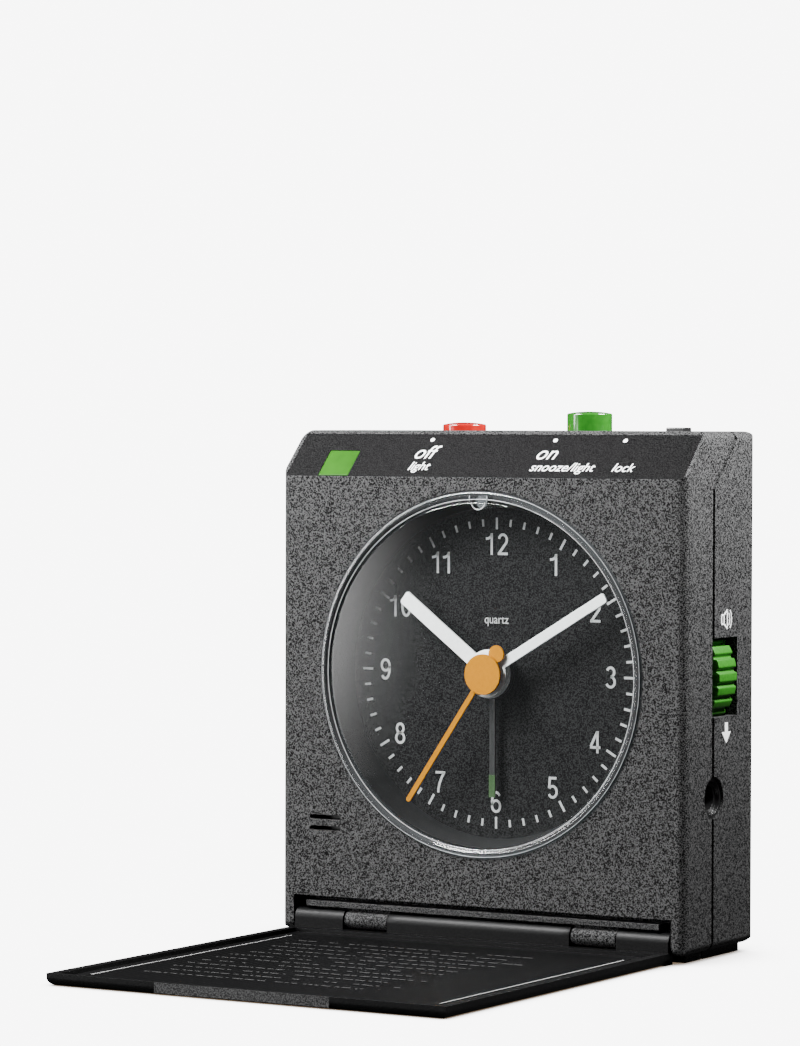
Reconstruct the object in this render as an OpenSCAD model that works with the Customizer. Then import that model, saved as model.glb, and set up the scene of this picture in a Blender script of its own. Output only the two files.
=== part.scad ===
// Travel alarm clock with a fold-down cover, in millimetres.
// +X is to the right seen from the front, +Y goes back and +Z is up.
// The origin is the middle of the case's underside. The cover lies open.

/* [Case] */
// Width of the case
body_w = 70; // [68:0.5:80]
// Depth of the case from front plane to back plane
body_d = 23.2; // [22.2:0.5:28.2]
// Height of the case
body_h = 78.5; // [78.5:0.5:90]
// Wall of the case shells
wall = 1.6; // [1.2:0.1:1.8]
// Radius of the case's long edges
edge_r = 1.5; // [1.2:0.1:2.5]
// Height of the set-in foot that the case stands on
foot_h = 1.3; // [0.8:0.1:1.3]
// Depth at which the front and rear shells meet
part_d = 9.05; // [8.8:0.05:9.4]
// Width of the groove between the two shells
groove = 0.7; // [0.4:0.1:0.8]
// Height of the lower edge of the sloping control strip
slope_z = 71.4; // [71.2:0.1:72.2]

/* [Dial] */
// Height of the middle of the dial
dial_z = 41.7; // [41:0.1:43]
// Outer radius of the ring round the crystal
ring_r = 27.8; // [27:0.1:28]
// Radius of the clear crystal
crystal_r = 26.3; // [25.8:0.1:26.4]
// Depth of the printed face of the dial
dial_d = 5.67; // [5.6:0.01:5.8]

/* [Cover] */
// Distance from the hinge line to the far edge of the cover
lid_reach = 67.1; // [67:0.1:68]
// Half of the cover's width
lid_half = 32.65; // [32:0.05:33]
// Thickness of the cover at its rim
lid_t = 1.8; // [1.6:0.1:1.8]
// Thickness of the cover inside its rim
lid_floor = 1.2; // [1:0.1:1.2]

/* [Controls] */
// Radius of the red button
off_r = 3.35; // [3.2:0.05:3.9]
// Radius of the green button
on_r = 3.45; // [3.2:0.05:3.8]
// Travel of each alarm button
button_travel = 1.7; // [1:0.1:1.8]
// Radius of the volume wheel
wheel_r = 8.8; // [8.6:0.1:8.9]
// Number of ribs on the volume wheel
wheel_ribs = 36; // [30:1:40]
// Radius of the setting knobs on the back
knob_r = 5.5; // [5:0.1:5.8]

/* [Rest pose] */
// Second hand, in degrees clockwise from twelve
second_at = 214; // [0:1:359]
// Minute hand, in degrees clockwise from twelve
minute_at = 59.2; // [0:0.1:359.9]
// Hour hand, in degrees clockwise from twelve
hour_at = 307.4; // [0:0.1:359.9]
// Alarm hand, in degrees clockwise from twelve
alarm_at = 180; // [0:1:359]

/* [Hidden] */
$fn = 64;

big = 200;
fit = 0.05;
half_w = body_w / 2;
// The parting line runs up the side, then slants back to the top
part_knee_z = body_h - 8.4;
part_top_d = 16.5;
lip_t = 0.8;
lip_reach = 1.4;
// Rounding of the lower back edge, and how far the foot is set in
heel_r = 2.6;
foot_in = 1.8;

// The line of the cover's hinge, and the pocket that it lies in
hinge_d = 1.3;
hinge_z = 3.2;
barrel_r = 1.5;
pin_r = 0.5;
pin_len = 14;
pocket_d = 3.2;
pocket_z = 6.7;
pocket_half = 32.7;
lug_x = 19.75;
lug_w = 7.5;
notch_w = 7.9;
knuckle_r = 1.35;

// Control strip on the slope: along is the way up the slope
strip_t = 0.5;
strip_len = 9.05;
strip_half = 34.3;
window_x = -25.9;
window_w = 5.4;

// Top controls
top_d = 16.5;
off_x = -11.9;
on_x = 10.1;
off_top = body_h + 1.25;
on_top = off_top + button_travel;
flange_w = 9.2;
flange_d = 5;
flange_t = 0.8;
flange_gap = 0.1;
on_flange_z = body_h - wall - flange_gap - flange_t;
rocker_x = (off_x + on_x) / 2;
rocker_arm = (on_x - off_x) / 2;
rocker_tilt = asin(button_travel / 2 / rocker_arm);
rocker_tip_r = 0.6;
rocker_z = body_h - 5.4;
rocker_w = 3;
rocker_pin_r = 0.7;
stem_r = 2;
tip_gap = 0.2;
lock_x = 25.3;
lock_travel = 3.4;
lock_w = 2.8;

// Side controls
wheel_x = half_w + 0.8 - wheel_r;
wheel_z = 41.9;
wheel_d0 = 9.6;
wheel_d1 = 15.4;
slot_d1 = 17;
slot_h = 11.8;
pot_shaft_r = 1.5;
jack_z = 24.1;
jack_d = 9.4;
jack_r = 3.15;
jack_bore_r = 1.8;

// Sounder and its slots
speaker_x = -27;
speaker_z = 18.05;
speaker_r = 6;
grille_w = 5.6;
grille_h = 0.7;
grille_pitch = 1.7;

// Battery bay
cell_r = 5.2;
cell_len = 44;
cell_d = 14.4;
cell_z = 13.5;
door_half = 24;
door_z0 = 7.4;
door_z1 = 19.8;

// Screws
case_screw_x = 30;
case_screw_low = 9.6;
case_screw_high = 66.5;
pillar_r = 2.3;
shank_r = 0.9;

// Movement: every wheel's depth, from the dial backwards
base_d0 = 6.3;
base_d1 = 7.3;
cover_d0 = 14.4;
cover_d1 = 15.3;
move_half = 17;
wheel_t = 0.6;
pinion_t = 0.8;
alarm_d = 7.5;
hour_d = 8.5;
motion_d = 9.5;
centre_d = 10.5;
third_d = 11.5;
seconds_d = 12.5;
fifth_d = 13.4;

// Pipes that run inside one another, with a running gap between them
shaft_r = 0.4;
minute_pipe_r = 0.95;
hour_pipe_r = 1.5;
alarm_pipe_r = 2.05;
arbor_r = 0.35;

// Depth at which each hand's front lies
second_cap_d = 1.2;
second_blade_d = 1.7;
minute_hand_d = 2.3;
hour_hand_d = 3.1;
alarm_hand_d = 4;
hand_t = 0.4;

// Tooth counts
rotor_teeth = 8;
fifth_teeth = 48;
fifth_leaves = 8;
seconds_teeth = 40;
seconds_leaves = 8;
third_teeth = 64;
third_leaves = 8;
centre_teeth = 60;
minute_leaves = 12;
motion_teeth = 36;
motion_leaves = 10;
hour_teeth = 40;
time_leaves = 18;
alarm_teeth = 40;

// Centre distances, and the modules that fill them
third_far = 7.2;
motion_far = 5;
fifth_far = 7.2;
alarm_far = 8.4;
m_third = 2 * third_far / (seconds_leaves + third_teeth);
m_centre = 2 * third_far / (third_leaves + centre_teeth);
m_motion = 2 * motion_far / (minute_leaves + motion_teeth);
m_hour = 2 * motion_far / (motion_leaves + hour_teeth);
m_fifth = 2 * fifth_far / (fifth_leaves + seconds_teeth);
m_rotor = 0.18;
m_alarm = alarm_far / alarm_teeth;
rotor_far = m_rotor * (rotor_teeth + fifth_teeth) / 2;
time_far = motion_far + m_motion * (motion_teeth + time_leaves) / 2;

// Directions, in degrees anticlockwise from +X seen from the front.
// Both knobs hang the same distance below the middle of the dial.
knob_drop = 5;
third_way = 90;
fifth_way = 270;
rotor_way = 225;
time_way = 180 + asin(knob_drop / time_far);
alarm_way = -asin(knob_drop / alarm_far);

// Places of the arbors, from the middle of the dial
third_at = polar(third_far, third_way);
fifth_at = polar(fifth_far, fifth_way);
rotor_at = fifth_at + polar(rotor_far, rotor_way);
motion_at = polar(motion_far, time_way);
time_at = polar(time_far, time_way);
alarm_stem_at = polar(alarm_far, alarm_way);

// Turn of each wheel that lets its teeth lie in its partner's gaps
third_turn = mesh_turn(0, seconds_leaves, third_teeth, third_way);
centre_turn = mesh_turn(0, third_leaves, centre_teeth, third_way + 180);
fifth_turn = mesh_turn(0, seconds_teeth, fifth_leaves, fifth_way);
rotor_turn = mesh_turn(0, fifth_teeth, rotor_teeth, rotor_way);
motion_turn = mesh_turn(0, minute_leaves, motion_teeth, time_way);
hour_turn = mesh_turn(0, motion_leaves, hour_teeth, time_way + 180);
time_turn = mesh_turn(motion_turn, motion_teeth, time_leaves, time_way);
alarm_turn = mesh_turn(0, alarm_teeth, alarm_teeth, alarm_way);

// Y of a depth behind the front plane
function depth(d) = d - body_d / 2;
function polar(r, a) = [r * cos(a), r * sin(a)];
// Turn of wheel b beside wheel a, in the direction way from a to b
function mesh_turn(turn_a, teeth_a, teeth_b, way) =
    way + 180 - (0.5 - (way - turn_a) * teeth_a / 360) * 360 / teeth_b;

// Flat shapes

module rounded_rect(w, h, r) {
    square([w - 2 * r, h], center = true);
    square([w, h - 2 * r], center = true);
    for (x = [-1, 1], y = [-1, 1])
        translate([x * (w / 2 - r), y * (h / 2 - r)])
            circle(r);
}

// Toothed outline with straight flanks and a running gap
module teeth(count, m, turn = 0) {
    pitch = 360 / count;
    root = m * count / 2 - 1.15 * m;
    tip = m * count / 2 + 0.75 * m;
    polygon([for (i = [0:count - 1], p = [[root, -0.27], [tip, -0.1], [tip, 0.1], [root, 0.27]])
        polar(p[0], turn + (i + p[1]) * pitch)]);
}

// Ways to give a flat shape thickness

// X and Z in, from depth d0 back to d1
module slab(d0, d1) {
    translate([0, depth(d1), 0])
        rotate([90, 0, 0])
            linear_extrude(d1 - d0)
                children();
}

// The same, measured from the middle of the dial
module dial_slab(d0, d1) {
    translate([0, 0, dial_z])
        slab(d0, d1)
            children();
}

// A disc or pipe of the movement at a place on the dial
module dial_disc(d0, d1, r, bore = 0, at = [0, 0]) {
    dial_slab(d0, d1)
        translate(at)
            difference() {
                circle(r);
                if (bore > 0)
                    circle(bore);
            }
}

// Y and Z in, from x0 to x1
module across(x0, x1) {
    translate([x0, 0, 0])
        rotate([90, 0, 90])
            linear_extrude(x1 - x0)
                children();
}

// A cylinder along X
module bar_x(x0, x1, d, z, r) {
    translate([x0, depth(d), z])
        rotate([0, 90, 0])
            cylinder(h = x1 - x0, r = r);
}

// A cylinder along Y
module bar_y(d0, d1, x, z, r) {
    translate([x, depth(d1), z])
        rotate([90, 0, 0])
            cylinder(h = d1 - d0, r = r);
}

// A box from its depths and its other sides
module block(x, d, z) {
    translate([x[0], depth(d[0]), z[0]])
        cube([x[1] - x[0], d[1] - d[0], z[1] - z[0]]);
}

// Places children on the slope: X across, Y up the slope, Z outwards
module on_slope() {
    translate([0, depth(0), slope_z])
        rotate([45, 0, 0])
            children();
}

// Case

// The case's outside, moved inwards
module case_solid(inset) {
    r = edge_r - 0.6 * inset;
    heel = heel_r - 0.6 * inset;
    tall = body_h - foot_h - 2 * inset;
    middle_z = (body_h + foot_h) / 2;
    slope_in = slope_z + body_d / 2 - inset * sqrt(2);
    intersection() {
        across(-half_w + inset, half_w - inset)
            difference() {
                translate([0, middle_z])
                    rounded_rect(body_d - 2 * inset, tall, r);
                polygon([[-big, slope_in - big], [big, slope_in + big], [-big, slope_in + big]]);
                translate([body_d / 2 - inset - heel, foot_h + inset + heel])
                    difference() {
                        translate([0, -heel - 1])
                            square(heel + 1);
                        circle(heel);
                    }
            }
        slab(inset, body_d - inset)
            translate([0, middle_z])
                rounded_rect(body_w - 2 * inset, tall, r);
        translate([0, 0, foot_h + inset])
            linear_extrude(tall)
                rounded_rect(body_w - 2 * inset, body_d - 2 * inset, r);
    }
}

// Low foot, from depth d0 back to d1
module foot(d0, d1) {
    block([-half_w + foot_in, half_w - foot_in], [d0, d1], [0, foot_h + 1]);
}

// Everything behind the parting line, which is first moved back by shift
module behind_parting(shift) {
    drop = shift * tan(22.5);
    top = part_knee_z + part_top_d - part_d;
    across(-big, big)
        translate([depth(0) + shift, -drop])
            polygon([[part_d, -big], [part_d, part_knee_z], [part_top_d, top],
                     [part_top_d, big], [big, big], [big, -big]]);
}

module case_skin() {
    difference() {
        case_solid(0);
        case_solid(wall);
    }
}

// Openings that both shells share
module shared_openings() {
    for (b = [[off_x, off_r], [on_x, on_r]])
        translate([b[0], depth(top_d), body_h - 4])
            cylinder(h = 8, r = b[1] + fit);
    block([lock_x - lock_travel - lock_w / 2 - fit, lock_x + lock_w / 2 + fit],
          [top_d - 1.7, top_d + 1.7], [body_h - 4, body_h + 4]);
    bar_x(half_w - 4, half_w + 4, jack_d, jack_z, jack_r);
}

module screw_places() {
    for (x = [-1, 1], z = [case_screw_low, case_screw_high])
        translate([x * case_screw_x, 0, z])
            children();
}

// Band inside the shell, from a shift of the parting line back to the lip's root
module lip_band(outer, shift) {
    intersection() {
        difference() {
            case_solid(outer);
            case_solid(wall + lip_t);
        }
        difference() {
            behind_parting(shift);
            behind_parting(groove / 2 + 1);
        }
    }
}

// Ear that holds one end of the rocker's pin
module rocker_ear(d) {
    difference() {
        block([rocker_x - 1.8, rocker_x + 1.8], [d, d + 1], [rocker_z - 1.6, body_h - wall + 0.5]);
        bar_y(12.9, body_d - 1.3, rocker_x, rocker_z, rocker_pin_r);
    }
}

module front_shell() color("#404246") {
    rocker_ear(13);
    difference() {
        union() {
            case_skin();
            intersection() {
                case_solid(0);
                block([-half_w, half_w], [0, pocket_d + 1.2], [0, pocket_z + 1.2]);
            }
            screw_places()
                bar_y(1, 9, 0, 0, pillar_r);
            foot(pocket_d + 0.6, part_d);
        }
        behind_parting(-groove / 2);
        block([-pocket_half, pocket_half], [-1, pocket_d], [-1, pocket_z]);
        dial_slab(-1, wall + 1)
            circle(ring_r + fit);
        on_slope() {
            translate([-strip_half - fit, 0.1, -strip_t])
                cube([2 * (strip_half + fit), strip_len + 2 * fit, 2]);
            translate([window_x - window_w / 2 + 0.4, 0.6, -3])
                cube([window_w - 0.8, window_w - 0.8, 4]);
        }
        for (i = [-1, 1])
            slab(-1, wall + 1)
                translate([speaker_x, speaker_z + i * grille_pitch / 2])
                    rounded_rect(grille_w, grille_h, grille_h / 2 - 0.01);
        screw_places()
            bar_y(3, 10, 0, 0, shank_r);
        shared_openings();
    }
}

module rear_shell() color("#6d6f73") {
    difference() {
        union() {
            intersection() {
                case_skin();
                behind_parting(groove / 2);
            }
            // Lip that the front shell slides over, and its root
            difference() {
                union() {
                    lip_band(wall + fit, -lip_reach);
                    lip_band(wall - 0.1, groove / 2);
                }
                block([-half_w, half_w], [0, 9], [0, pocket_z + 1.4]);
                // Room for the tabs of the top controls
                block([-half_w + 14, half_w - wall - 0.1], [12, body_d - wall - 0.1],
                      [body_h - 5, body_h - wall]);
            }
            foot(part_d + groove / 2, body_d - foot_in);
            screw_places()
                bar_y(9.1, body_d - 1, 0, 0, pillar_r);
            for (at = [time_at, alarm_stem_at])
                dial_disc(body_d - 2.6, body_d - 1, knob_r + 1.6, 0, at);
            rocker_ear(body_d - 2.4);
            // Shelf over the battery
            block([-half_w + 1, half_w - 1], [15, body_d - 1], [door_z1 + 0.4, door_z1 + 1.4]);
        }
        screw_places() {
            bar_y(8, body_d + 1, 0, 0, shank_r + 0.2);
            bar_y(body_d - 2.6, body_d + 1, 0, 0, 2);
        }
        for (at = [time_at, alarm_stem_at]) {
            dial_disc(body_d - wall, body_d + 1, knob_r + 0.8, 0, at);
            dial_disc(18, body_d + 1, 0.85, 0, at);
        }
        block([-door_half, door_half], [body_d - 2, body_d + 1], [door_z0, door_z1]);
        block([half_w - 3, half_w + 1], [8, slot_d1],
              [wheel_z - slot_h / 2, wheel_z + slot_h / 2]);
        bar_y(8, wheel_d1 + 0.4, wheel_x, wheel_z, wheel_r + 0.35);
        bar_y(12.9, body_d - 1.3, rocker_x, rocker_z, rocker_pin_r);
        shared_openings();
    }
}

module control_strip() color("#26272b") {
    on_slope()
        difference() {
            translate([-strip_half, 0.15, -strip_t])
                cube([2 * strip_half, strip_len, strip_t]);
            translate([window_x - window_w / 2, 0.25, -2])
                cube([window_w, window_w, 4]);
        }
}

module alarm_window() color("#2f9e4f") {
    on_slope()
        translate([window_x - window_w / 2 + fit, 0.3, -strip_t]) {
            cube([window_w - 2 * fit, window_w - 2 * fit, strip_t]);
            translate([0.4, 0.35, -0.8])
                cube([window_w - 1, window_w - 1, 0.9]);
        }
}

// Dial

module crystal() color("#dfe8ee", 0.4) {
    dial_disc(-0.1, 0.8, crystal_r - 0.05);
}

module crystal_ring() color("#c9d2d8") {
    crown = (ring_r - crystal_r) / 2;
    difference() {
        translate([0, depth(-0.4 + crown), dial_z])
            rotate([-90, 0, 0])
                rotate_extrude($fn = 128) {
                    translate([crystal_r + crown, 0])
                        circle(crown - 0.02);
                    translate([crystal_r + 0.02, 0])
                        square([2 * crown - 0.04, 1.2]);
                }
        block([-1.55, 1.55], [-1, 4], [dial_z + 20, dial_z + crystal_r + 0.5]);
        // Room for the lamp's head
        block([-1.55, 1.55], [0.7, 4], [dial_z + 20, dial_z + crystal_r + 1.1]);
    }
}

module dial_wall() color("#2a2b2e") {
    difference() {
        union() {
            dial_disc(0.9, dial_d, ring_r - 0.15);
            dial_disc(wall + fit, wall + 1, ring_r + 1.2);
        }
        translate([0, depth(0.8), dial_z])
            rotate([-90, 0, 0])
                cylinder(h = dial_d, r1 = 26.2, r2 = 25);
        // Room for the ring's foot
        difference() {
            dial_disc(0.8, 1.6, ring_r + 0.1);
            dial_disc(0.7, 1.7, crystal_r - 0.1);
        }
        block([-1.55, 1.55], [0.5, 5.2], [dial_z + 20, dial_z + ring_r - 0.4]);
    }
}

module dial_plate() color("#1c1c1f") {
    dial_disc(dial_d, base_d0 - 0.03, 27.4, alarm_pipe_r + 0.2);
}

module dial_lamp() color("#e8f2dc") {
    lamp_z = dial_z + crystal_r - 0.2;
    difference() {
        union() {
            bar_y(1.6, 5, 0, lamp_z, 1.2);
            translate([0, depth(1.6), lamp_z])
                sphere(1.2);
        }
        block([-2, 2], [-1, 0.9], [lamp_z - 2, lamp_z + 2]);
    }
}

// Hands: drawn pointing at twelve, then turned clockwise

module hand_at(d0, d1, clockwise) {
    dial_slab(d0, d1)
        rotate(-clockwise)
            children();
}

// A straight blade with a rounded end
module blade(from, to, w) {
    r = min(w / 2 - 0.01, 0.45);
    translate([0, (from + to) / 2])
        rounded_rect(w, to - from, r);
}

module second_hand() color("#f2c230") {
    dial_disc(second_cap_d, second_blade_d, 3.05);
    hand_at(second_blade_d, second_blade_d + 0.3, second_at) {
        difference() {
            union() {
                circle(2.9);
                blade(0, 23.9, 0.8);
                blade(-3.8, 0, 1.7);
                translate([0, -3.8])
                    circle(1.3);
            }
            circle(shaft_r);
        }
    }
}

module minute_hand() color("#f2f2ee") {
    hand_at(minute_hand_d, minute_hand_d + hand_t, minute_at)
        difference() {
            union() {
                circle(3.5);
                blade(0, 23.7, 1.55);
            }
            circle(minute_pipe_r);
        }
}

module hour_hand() color("#f2f2ee") {
    hand_at(hour_hand_d, hour_hand_d + hand_t, hour_at)
        difference() {
            union() {
                circle(3.7);
                blade(0, 18.8, 2.2);
            }
            circle(hour_pipe_r);
        }
}

module alarm_hand() color("#2c2c2e") {
    dial_disc(alarm_hand_d, alarm_hand_d + 0.6, 3.8, alarm_pipe_r);
    hand_at(alarm_hand_d + 0.4, alarm_hand_d + 0.7, alarm_at)
        difference() {
            blade(3, 18.8, 1);
            circle(3.2);
        }
}

// Movement

// A toothed wheel of the movement
module wheel(count, m, d, t, turn, bore, at = [0, 0]) {
    dial_slab(d, d + t)
        translate(at)
            difference() {
                teeth(count, m, turn);
                if (bore > 0)
                    circle(bore);
            }
}

module pinion(count, m, d, turn, bore, at = [0, 0]) {
    wheel(count, m, d - 0.1, pinion_t, turn, bore, at);
}

module seconds_wheel() color("#d8d2c0") {
    dial_disc(second_cap_d + 0.5, cover_d1 - 0.1, shaft_r);
    pinion(seconds_leaves, m_third, third_d, 0, 0);
    wheel(seconds_teeth, m_fifth, seconds_d, wheel_t, 0, 0);
}

module centre_wheel() color("#e6e2d6") {
    dial_disc(minute_hand_d, centre_d + wheel_t, minute_pipe_r, shaft_r + fit);
    pinion(minute_leaves, m_motion, motion_d, 0, shaft_r + fit);
    wheel(centre_teeth, m_centre, centre_d, wheel_t, centre_turn, shaft_r + fit);
}

module hour_wheel() color("#e6e2d6") {
    dial_disc(hour_hand_d, hour_d + wheel_t, hour_pipe_r, minute_pipe_r + fit);
    wheel(hour_teeth, m_hour, hour_d, wheel_t, hour_turn, minute_pipe_r + fit);
}

module alarm_wheel() color("#e6e2d6") {
    dial_disc(alarm_hand_d, alarm_d + wheel_t, alarm_pipe_r, hour_pipe_r + fit);
    wheel(alarm_teeth, m_alarm, alarm_d, wheel_t, 0, hour_pipe_r + fit);
}

module third_wheel() color("#d8d2c0") {
    dial_disc(base_d0 + 0.2, cover_d1 - 0.1, arbor_r, 0, third_at);
    pinion(third_leaves, m_centre, centre_d, 0, 0, third_at);
    wheel(third_teeth, m_third, third_d, wheel_t, third_turn, 0, third_at);
}

module fifth_wheel() color("#d8d2c0") {
    dial_disc(base_d0 + 0.2, cover_d1 - 0.1, arbor_r, 0, fifth_at);
    pinion(fifth_leaves, m_fifth, seconds_d, fifth_turn, 0, fifth_at);
    wheel(fifth_teeth, m_rotor, fifth_d, wheel_t, 0, 0, fifth_at);
}

module rotor() color("#55565a") {
    dial_disc(base_d0 + 0.2, cover_d1 - 0.1, arbor_r, 0, rotor_at);
    dial_disc(11.3, 12.6, 1.5, 0, rotor_at);
    pinion(rotor_teeth, m_rotor, fifth_d, rotor_turn, 0, rotor_at);
}

module motion_wheel() color("#e6e2d6") {
    dial_disc(base_d0 + 0.2, centre_d - 0.2, arbor_r, 0, motion_at);
    pinion(motion_leaves, m_hour, hour_d, 0, 0, motion_at);
    wheel(motion_teeth, m_motion, motion_d, wheel_t, motion_turn, 0, motion_at);
}

module time_stem() color("#d8d2c0") {
    dial_disc(base_d0 + 0.2, motion_d, 0.5, 0, time_at);
    dial_disc(motion_d, body_d, 0.8, 0, time_at);
    wheel(time_leaves, m_motion, motion_d, wheel_t, time_turn, 0, time_at);
}

module alarm_stem() color("#d8d2c0") {
    dial_disc(base_d0 + 0.2, alarm_d, 0.5, 0, alarm_stem_at);
    dial_disc(alarm_d, body_d, 0.8, 0, alarm_stem_at);
    wheel(alarm_teeth, m_alarm, alarm_d, wheel_t, alarm_turn, 0, alarm_stem_at);
}

// Knurled knob, pressed on the end of its stem
module knob(at) {
    flutes = 24;
    difference() {
        dial_disc(body_d - 1.3, body_d + 1.1, knob_r, 0, at);
        dial_disc(body_d - 2, body_d, 0.8, 0, at);
        for (i = [0:flutes - 1])
            dial_disc(body_d - 0.8, body_d + 2, 0.35, 0, at + polar(knob_r + 0.1, i * 360 / flutes));
    }
}

module time_knob() color("#303134") {
    knob(time_at);
}

module alarm_knob() color("#303134") {
    knob(alarm_stem_at);
}

module movement_base() color("#ece8dc") {
    difference() {
        union() {
            dial_slab(base_d0, base_d1)
                rounded_rect(2 * move_half, 2 * move_half, 2);
            for (x = [-1, 1], z = [-1, 1])
                dial_disc(base_d1 - 0.1, cover_d0 - 0.02, 1.5, 0, [x, z] * (move_half - 3));
        }
        dial_disc(5, 8, alarm_pipe_r + fit);
        for (at = [third_at, fifth_at, rotor_at, motion_at])
            dial_disc(base_d0 + 0.1, 8, arbor_r + fit, 0, at);
        for (at = [time_at, alarm_stem_at])
            dial_disc(base_d0 + 0.1, 8, 0.5 + fit, 0, at);
        for (x = [-1, 1], z = [-1, 1])
            dial_disc(9, 15, 0.6, 0, [x, z] * (move_half - 3));
    }
}

module movement_cover() color("#f4f1e6") {
    difference() {
        dial_slab(base_d1 + 0.02, cover_d1)
            rounded_rect(2 * move_half, 2 * move_half, 2);
        dial_slab(base_d1 - 1, cover_d0)
            rounded_rect(2 * move_half - 2, 2 * move_half - 2, 1.2);
        dial_disc(14, 15.25, shaft_r + fit);
        for (at = [third_at, fifth_at, rotor_at])
            dial_disc(14, 15.25, arbor_r + fit, 0, at);
        for (at = [time_at, alarm_stem_at])
            dial_disc(14, 16, 0.8 + fit, 0, at);
        for (x = [-1, 1], z = [-1, 1])
            dial_disc(14, 16, 0.8, 0, [x, z] * (move_half - 3));
    }
}

module stator() color("#b9bbbf") {
    coil_z = -14.6;
    difference() {
        dial_slab(11.6, 12.2) {
            translate([-9, -13.3])
                square([18, 5]);
            for (x = [-9, 7])
                translate([x, coil_z - 1])
                    square([2, 3]);
            translate([-9, coil_z - 0.6])
                square([18, 1.2]);
        }
        dial_disc(11, 13, 1.9, 0, rotor_at);
    }
}

module coil() color("#b8672e") {
    difference() {
        bar_x(-6, 6, 11.9, dial_z - 14.6, 1.2);
        block([-9, 9], [11.6, 12.2], [dial_z - 15.2, dial_z - 14]);
    }
}

module movement_screws() color("#c4c6ca") {
    for (x = [-1, 1], z = [-1, 1]) {
        dial_disc(cover_d0 - 4, cover_d1, 0.6, 0, [x, z] * (move_half - 3));
        dial_disc(cover_d1, cover_d1 + 0.7, 1.3, 0, [x, z] * (move_half - 3));
    }
}

// Electrics

board_z0 = 60;
board_z1 = 70;
board_d1 = 9.2;

module circuit_board() color("#1f6b3a") {
    block([-23, 23], [8.2, board_d1], [board_z0, board_z1]);
}

module quartz_can() color("#c9cbd0") {
    bar_x(-12, -6, board_d1 + 1, 64, 1);
}

module ic_chip() color("#18181a") {
    block([2, 8], [board_d1, board_d1 + 1.2], [61.5, 67.5]);
}

module alarm_switch() color("#303034") {
    block([13, 18], [board_d1, board_d1 + 4], [66, 70]);
}

module light_switch() color("#303034") {
    block([-19, -15], [board_d1, board_d1 + 3], [66, 70]);
}

module speaker() color("#2a2a2c") {
    difference() {
        bar_y(wall + fit, wall + 3.6, speaker_x, speaker_z, speaker_r);
        bar_y(wall, wall + 1.6, speaker_x, speaker_z, speaker_r - 1);
    }
}

module battery() color("#c8a24a") {
    bar_x(-cell_len / 2, cell_len / 2 - 1, cell_d, cell_z, cell_r);
    bar_x(cell_len / 2 - 1, cell_len / 2, cell_d, cell_z, 1.9);
}

module battery_contact() color("#d0d2d6") {
    block([cell_len / 2, cell_len / 2 + 0.4], [10, 19], [9, 18]);
}

// Coil spring of the other contact, swept along a helix
module battery_spring() color("#d0d2d6") {
    turns = 3;
    rings = 12 * turns;
    sides = 8;
    wire_r = 0.3;
    coil_r = 3;
    pitch = 1;
    points = [for (i = [0:rings], j = [0:sides - 1])
        let (a = i * 30, r = coil_r + wire_r * cos(j * 360 / sides))
            [pitch * i / 12 + wire_r * sin(j * 360 / sides), r * cos(a), r * sin(a)]];
    skin = [for (i = [0:rings - 1], j = [0:sides - 1])
        let (k = (j + 1) % sides)
            [i * sides + j, i * sides + k, (i + 1) * sides + k, (i + 1) * sides + j]];
    start = [[for (j = [sides - 1:-1:0]) j]];
    end = [[for (j = [0:sides - 1]) rings * sides + j]];
    length = turns * pitch + 2 * wire_r;
    translate([-cell_len / 2 - length + wire_r, depth(cell_d), cell_z])
        polyhedron(points, concat(skin, start, end));
    block([-cell_len / 2 - length - 0.3, -cell_len / 2 - length], [10, 19], [9, 18]);
}

module battery_door() color("#6d6f73") {
    ridge_gap = 1.6;
    difference() {
        block([-door_half + 0.1, door_half - 0.1], [body_d - 1.4, body_d], [door_z0 + 0.1, door_z1 - 0.1]);
        for (i = [-3:3])
            block([-6, 6], [body_d - 0.4, body_d + 1],
                  [cell_z + i * ridge_gap - 0.4, cell_z + i * ridge_gap + 0.4]);
    }
}

module case_screws() color("#c4c6ca") {
    screw_places() {
        bar_y(3.5, body_d - 2.5, 0, 0, shank_r);
        bar_y(body_d - 2.5, body_d - 1.3, 0, 0, 1.9);
    }
}

// Cover and its hinge

module hinge_bracket() color("#1d1e20") {
    difference() {
        union() {
            block([-30.6, 30.6], [0.3, pocket_d - fit], [hinge_z + 1.8, hinge_z + 2.7]);
            for (x = [-lug_x, lug_x]) {
                bar_x(x - lug_w / 2, x + lug_w / 2, hinge_d, hinge_z, knuckle_r);
                block([x - lug_w / 2, x + lug_w / 2], [hinge_d, pocket_d - fit],
                      [hinge_z - knuckle_r + 0.1, hinge_z + 2]);
            }
        }
        for (x = [-lug_x, lug_x])
            bar_x(x - 5, x + 5, hinge_d, hinge_z, pin_r);
    }
}

module hinge_pins() color("#c4c6ca") {
    for (x = [-lug_x, lug_x])
        bar_x(x - pin_len / 2, x + pin_len / 2, hinge_d, hinge_z, pin_r);
}

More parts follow.
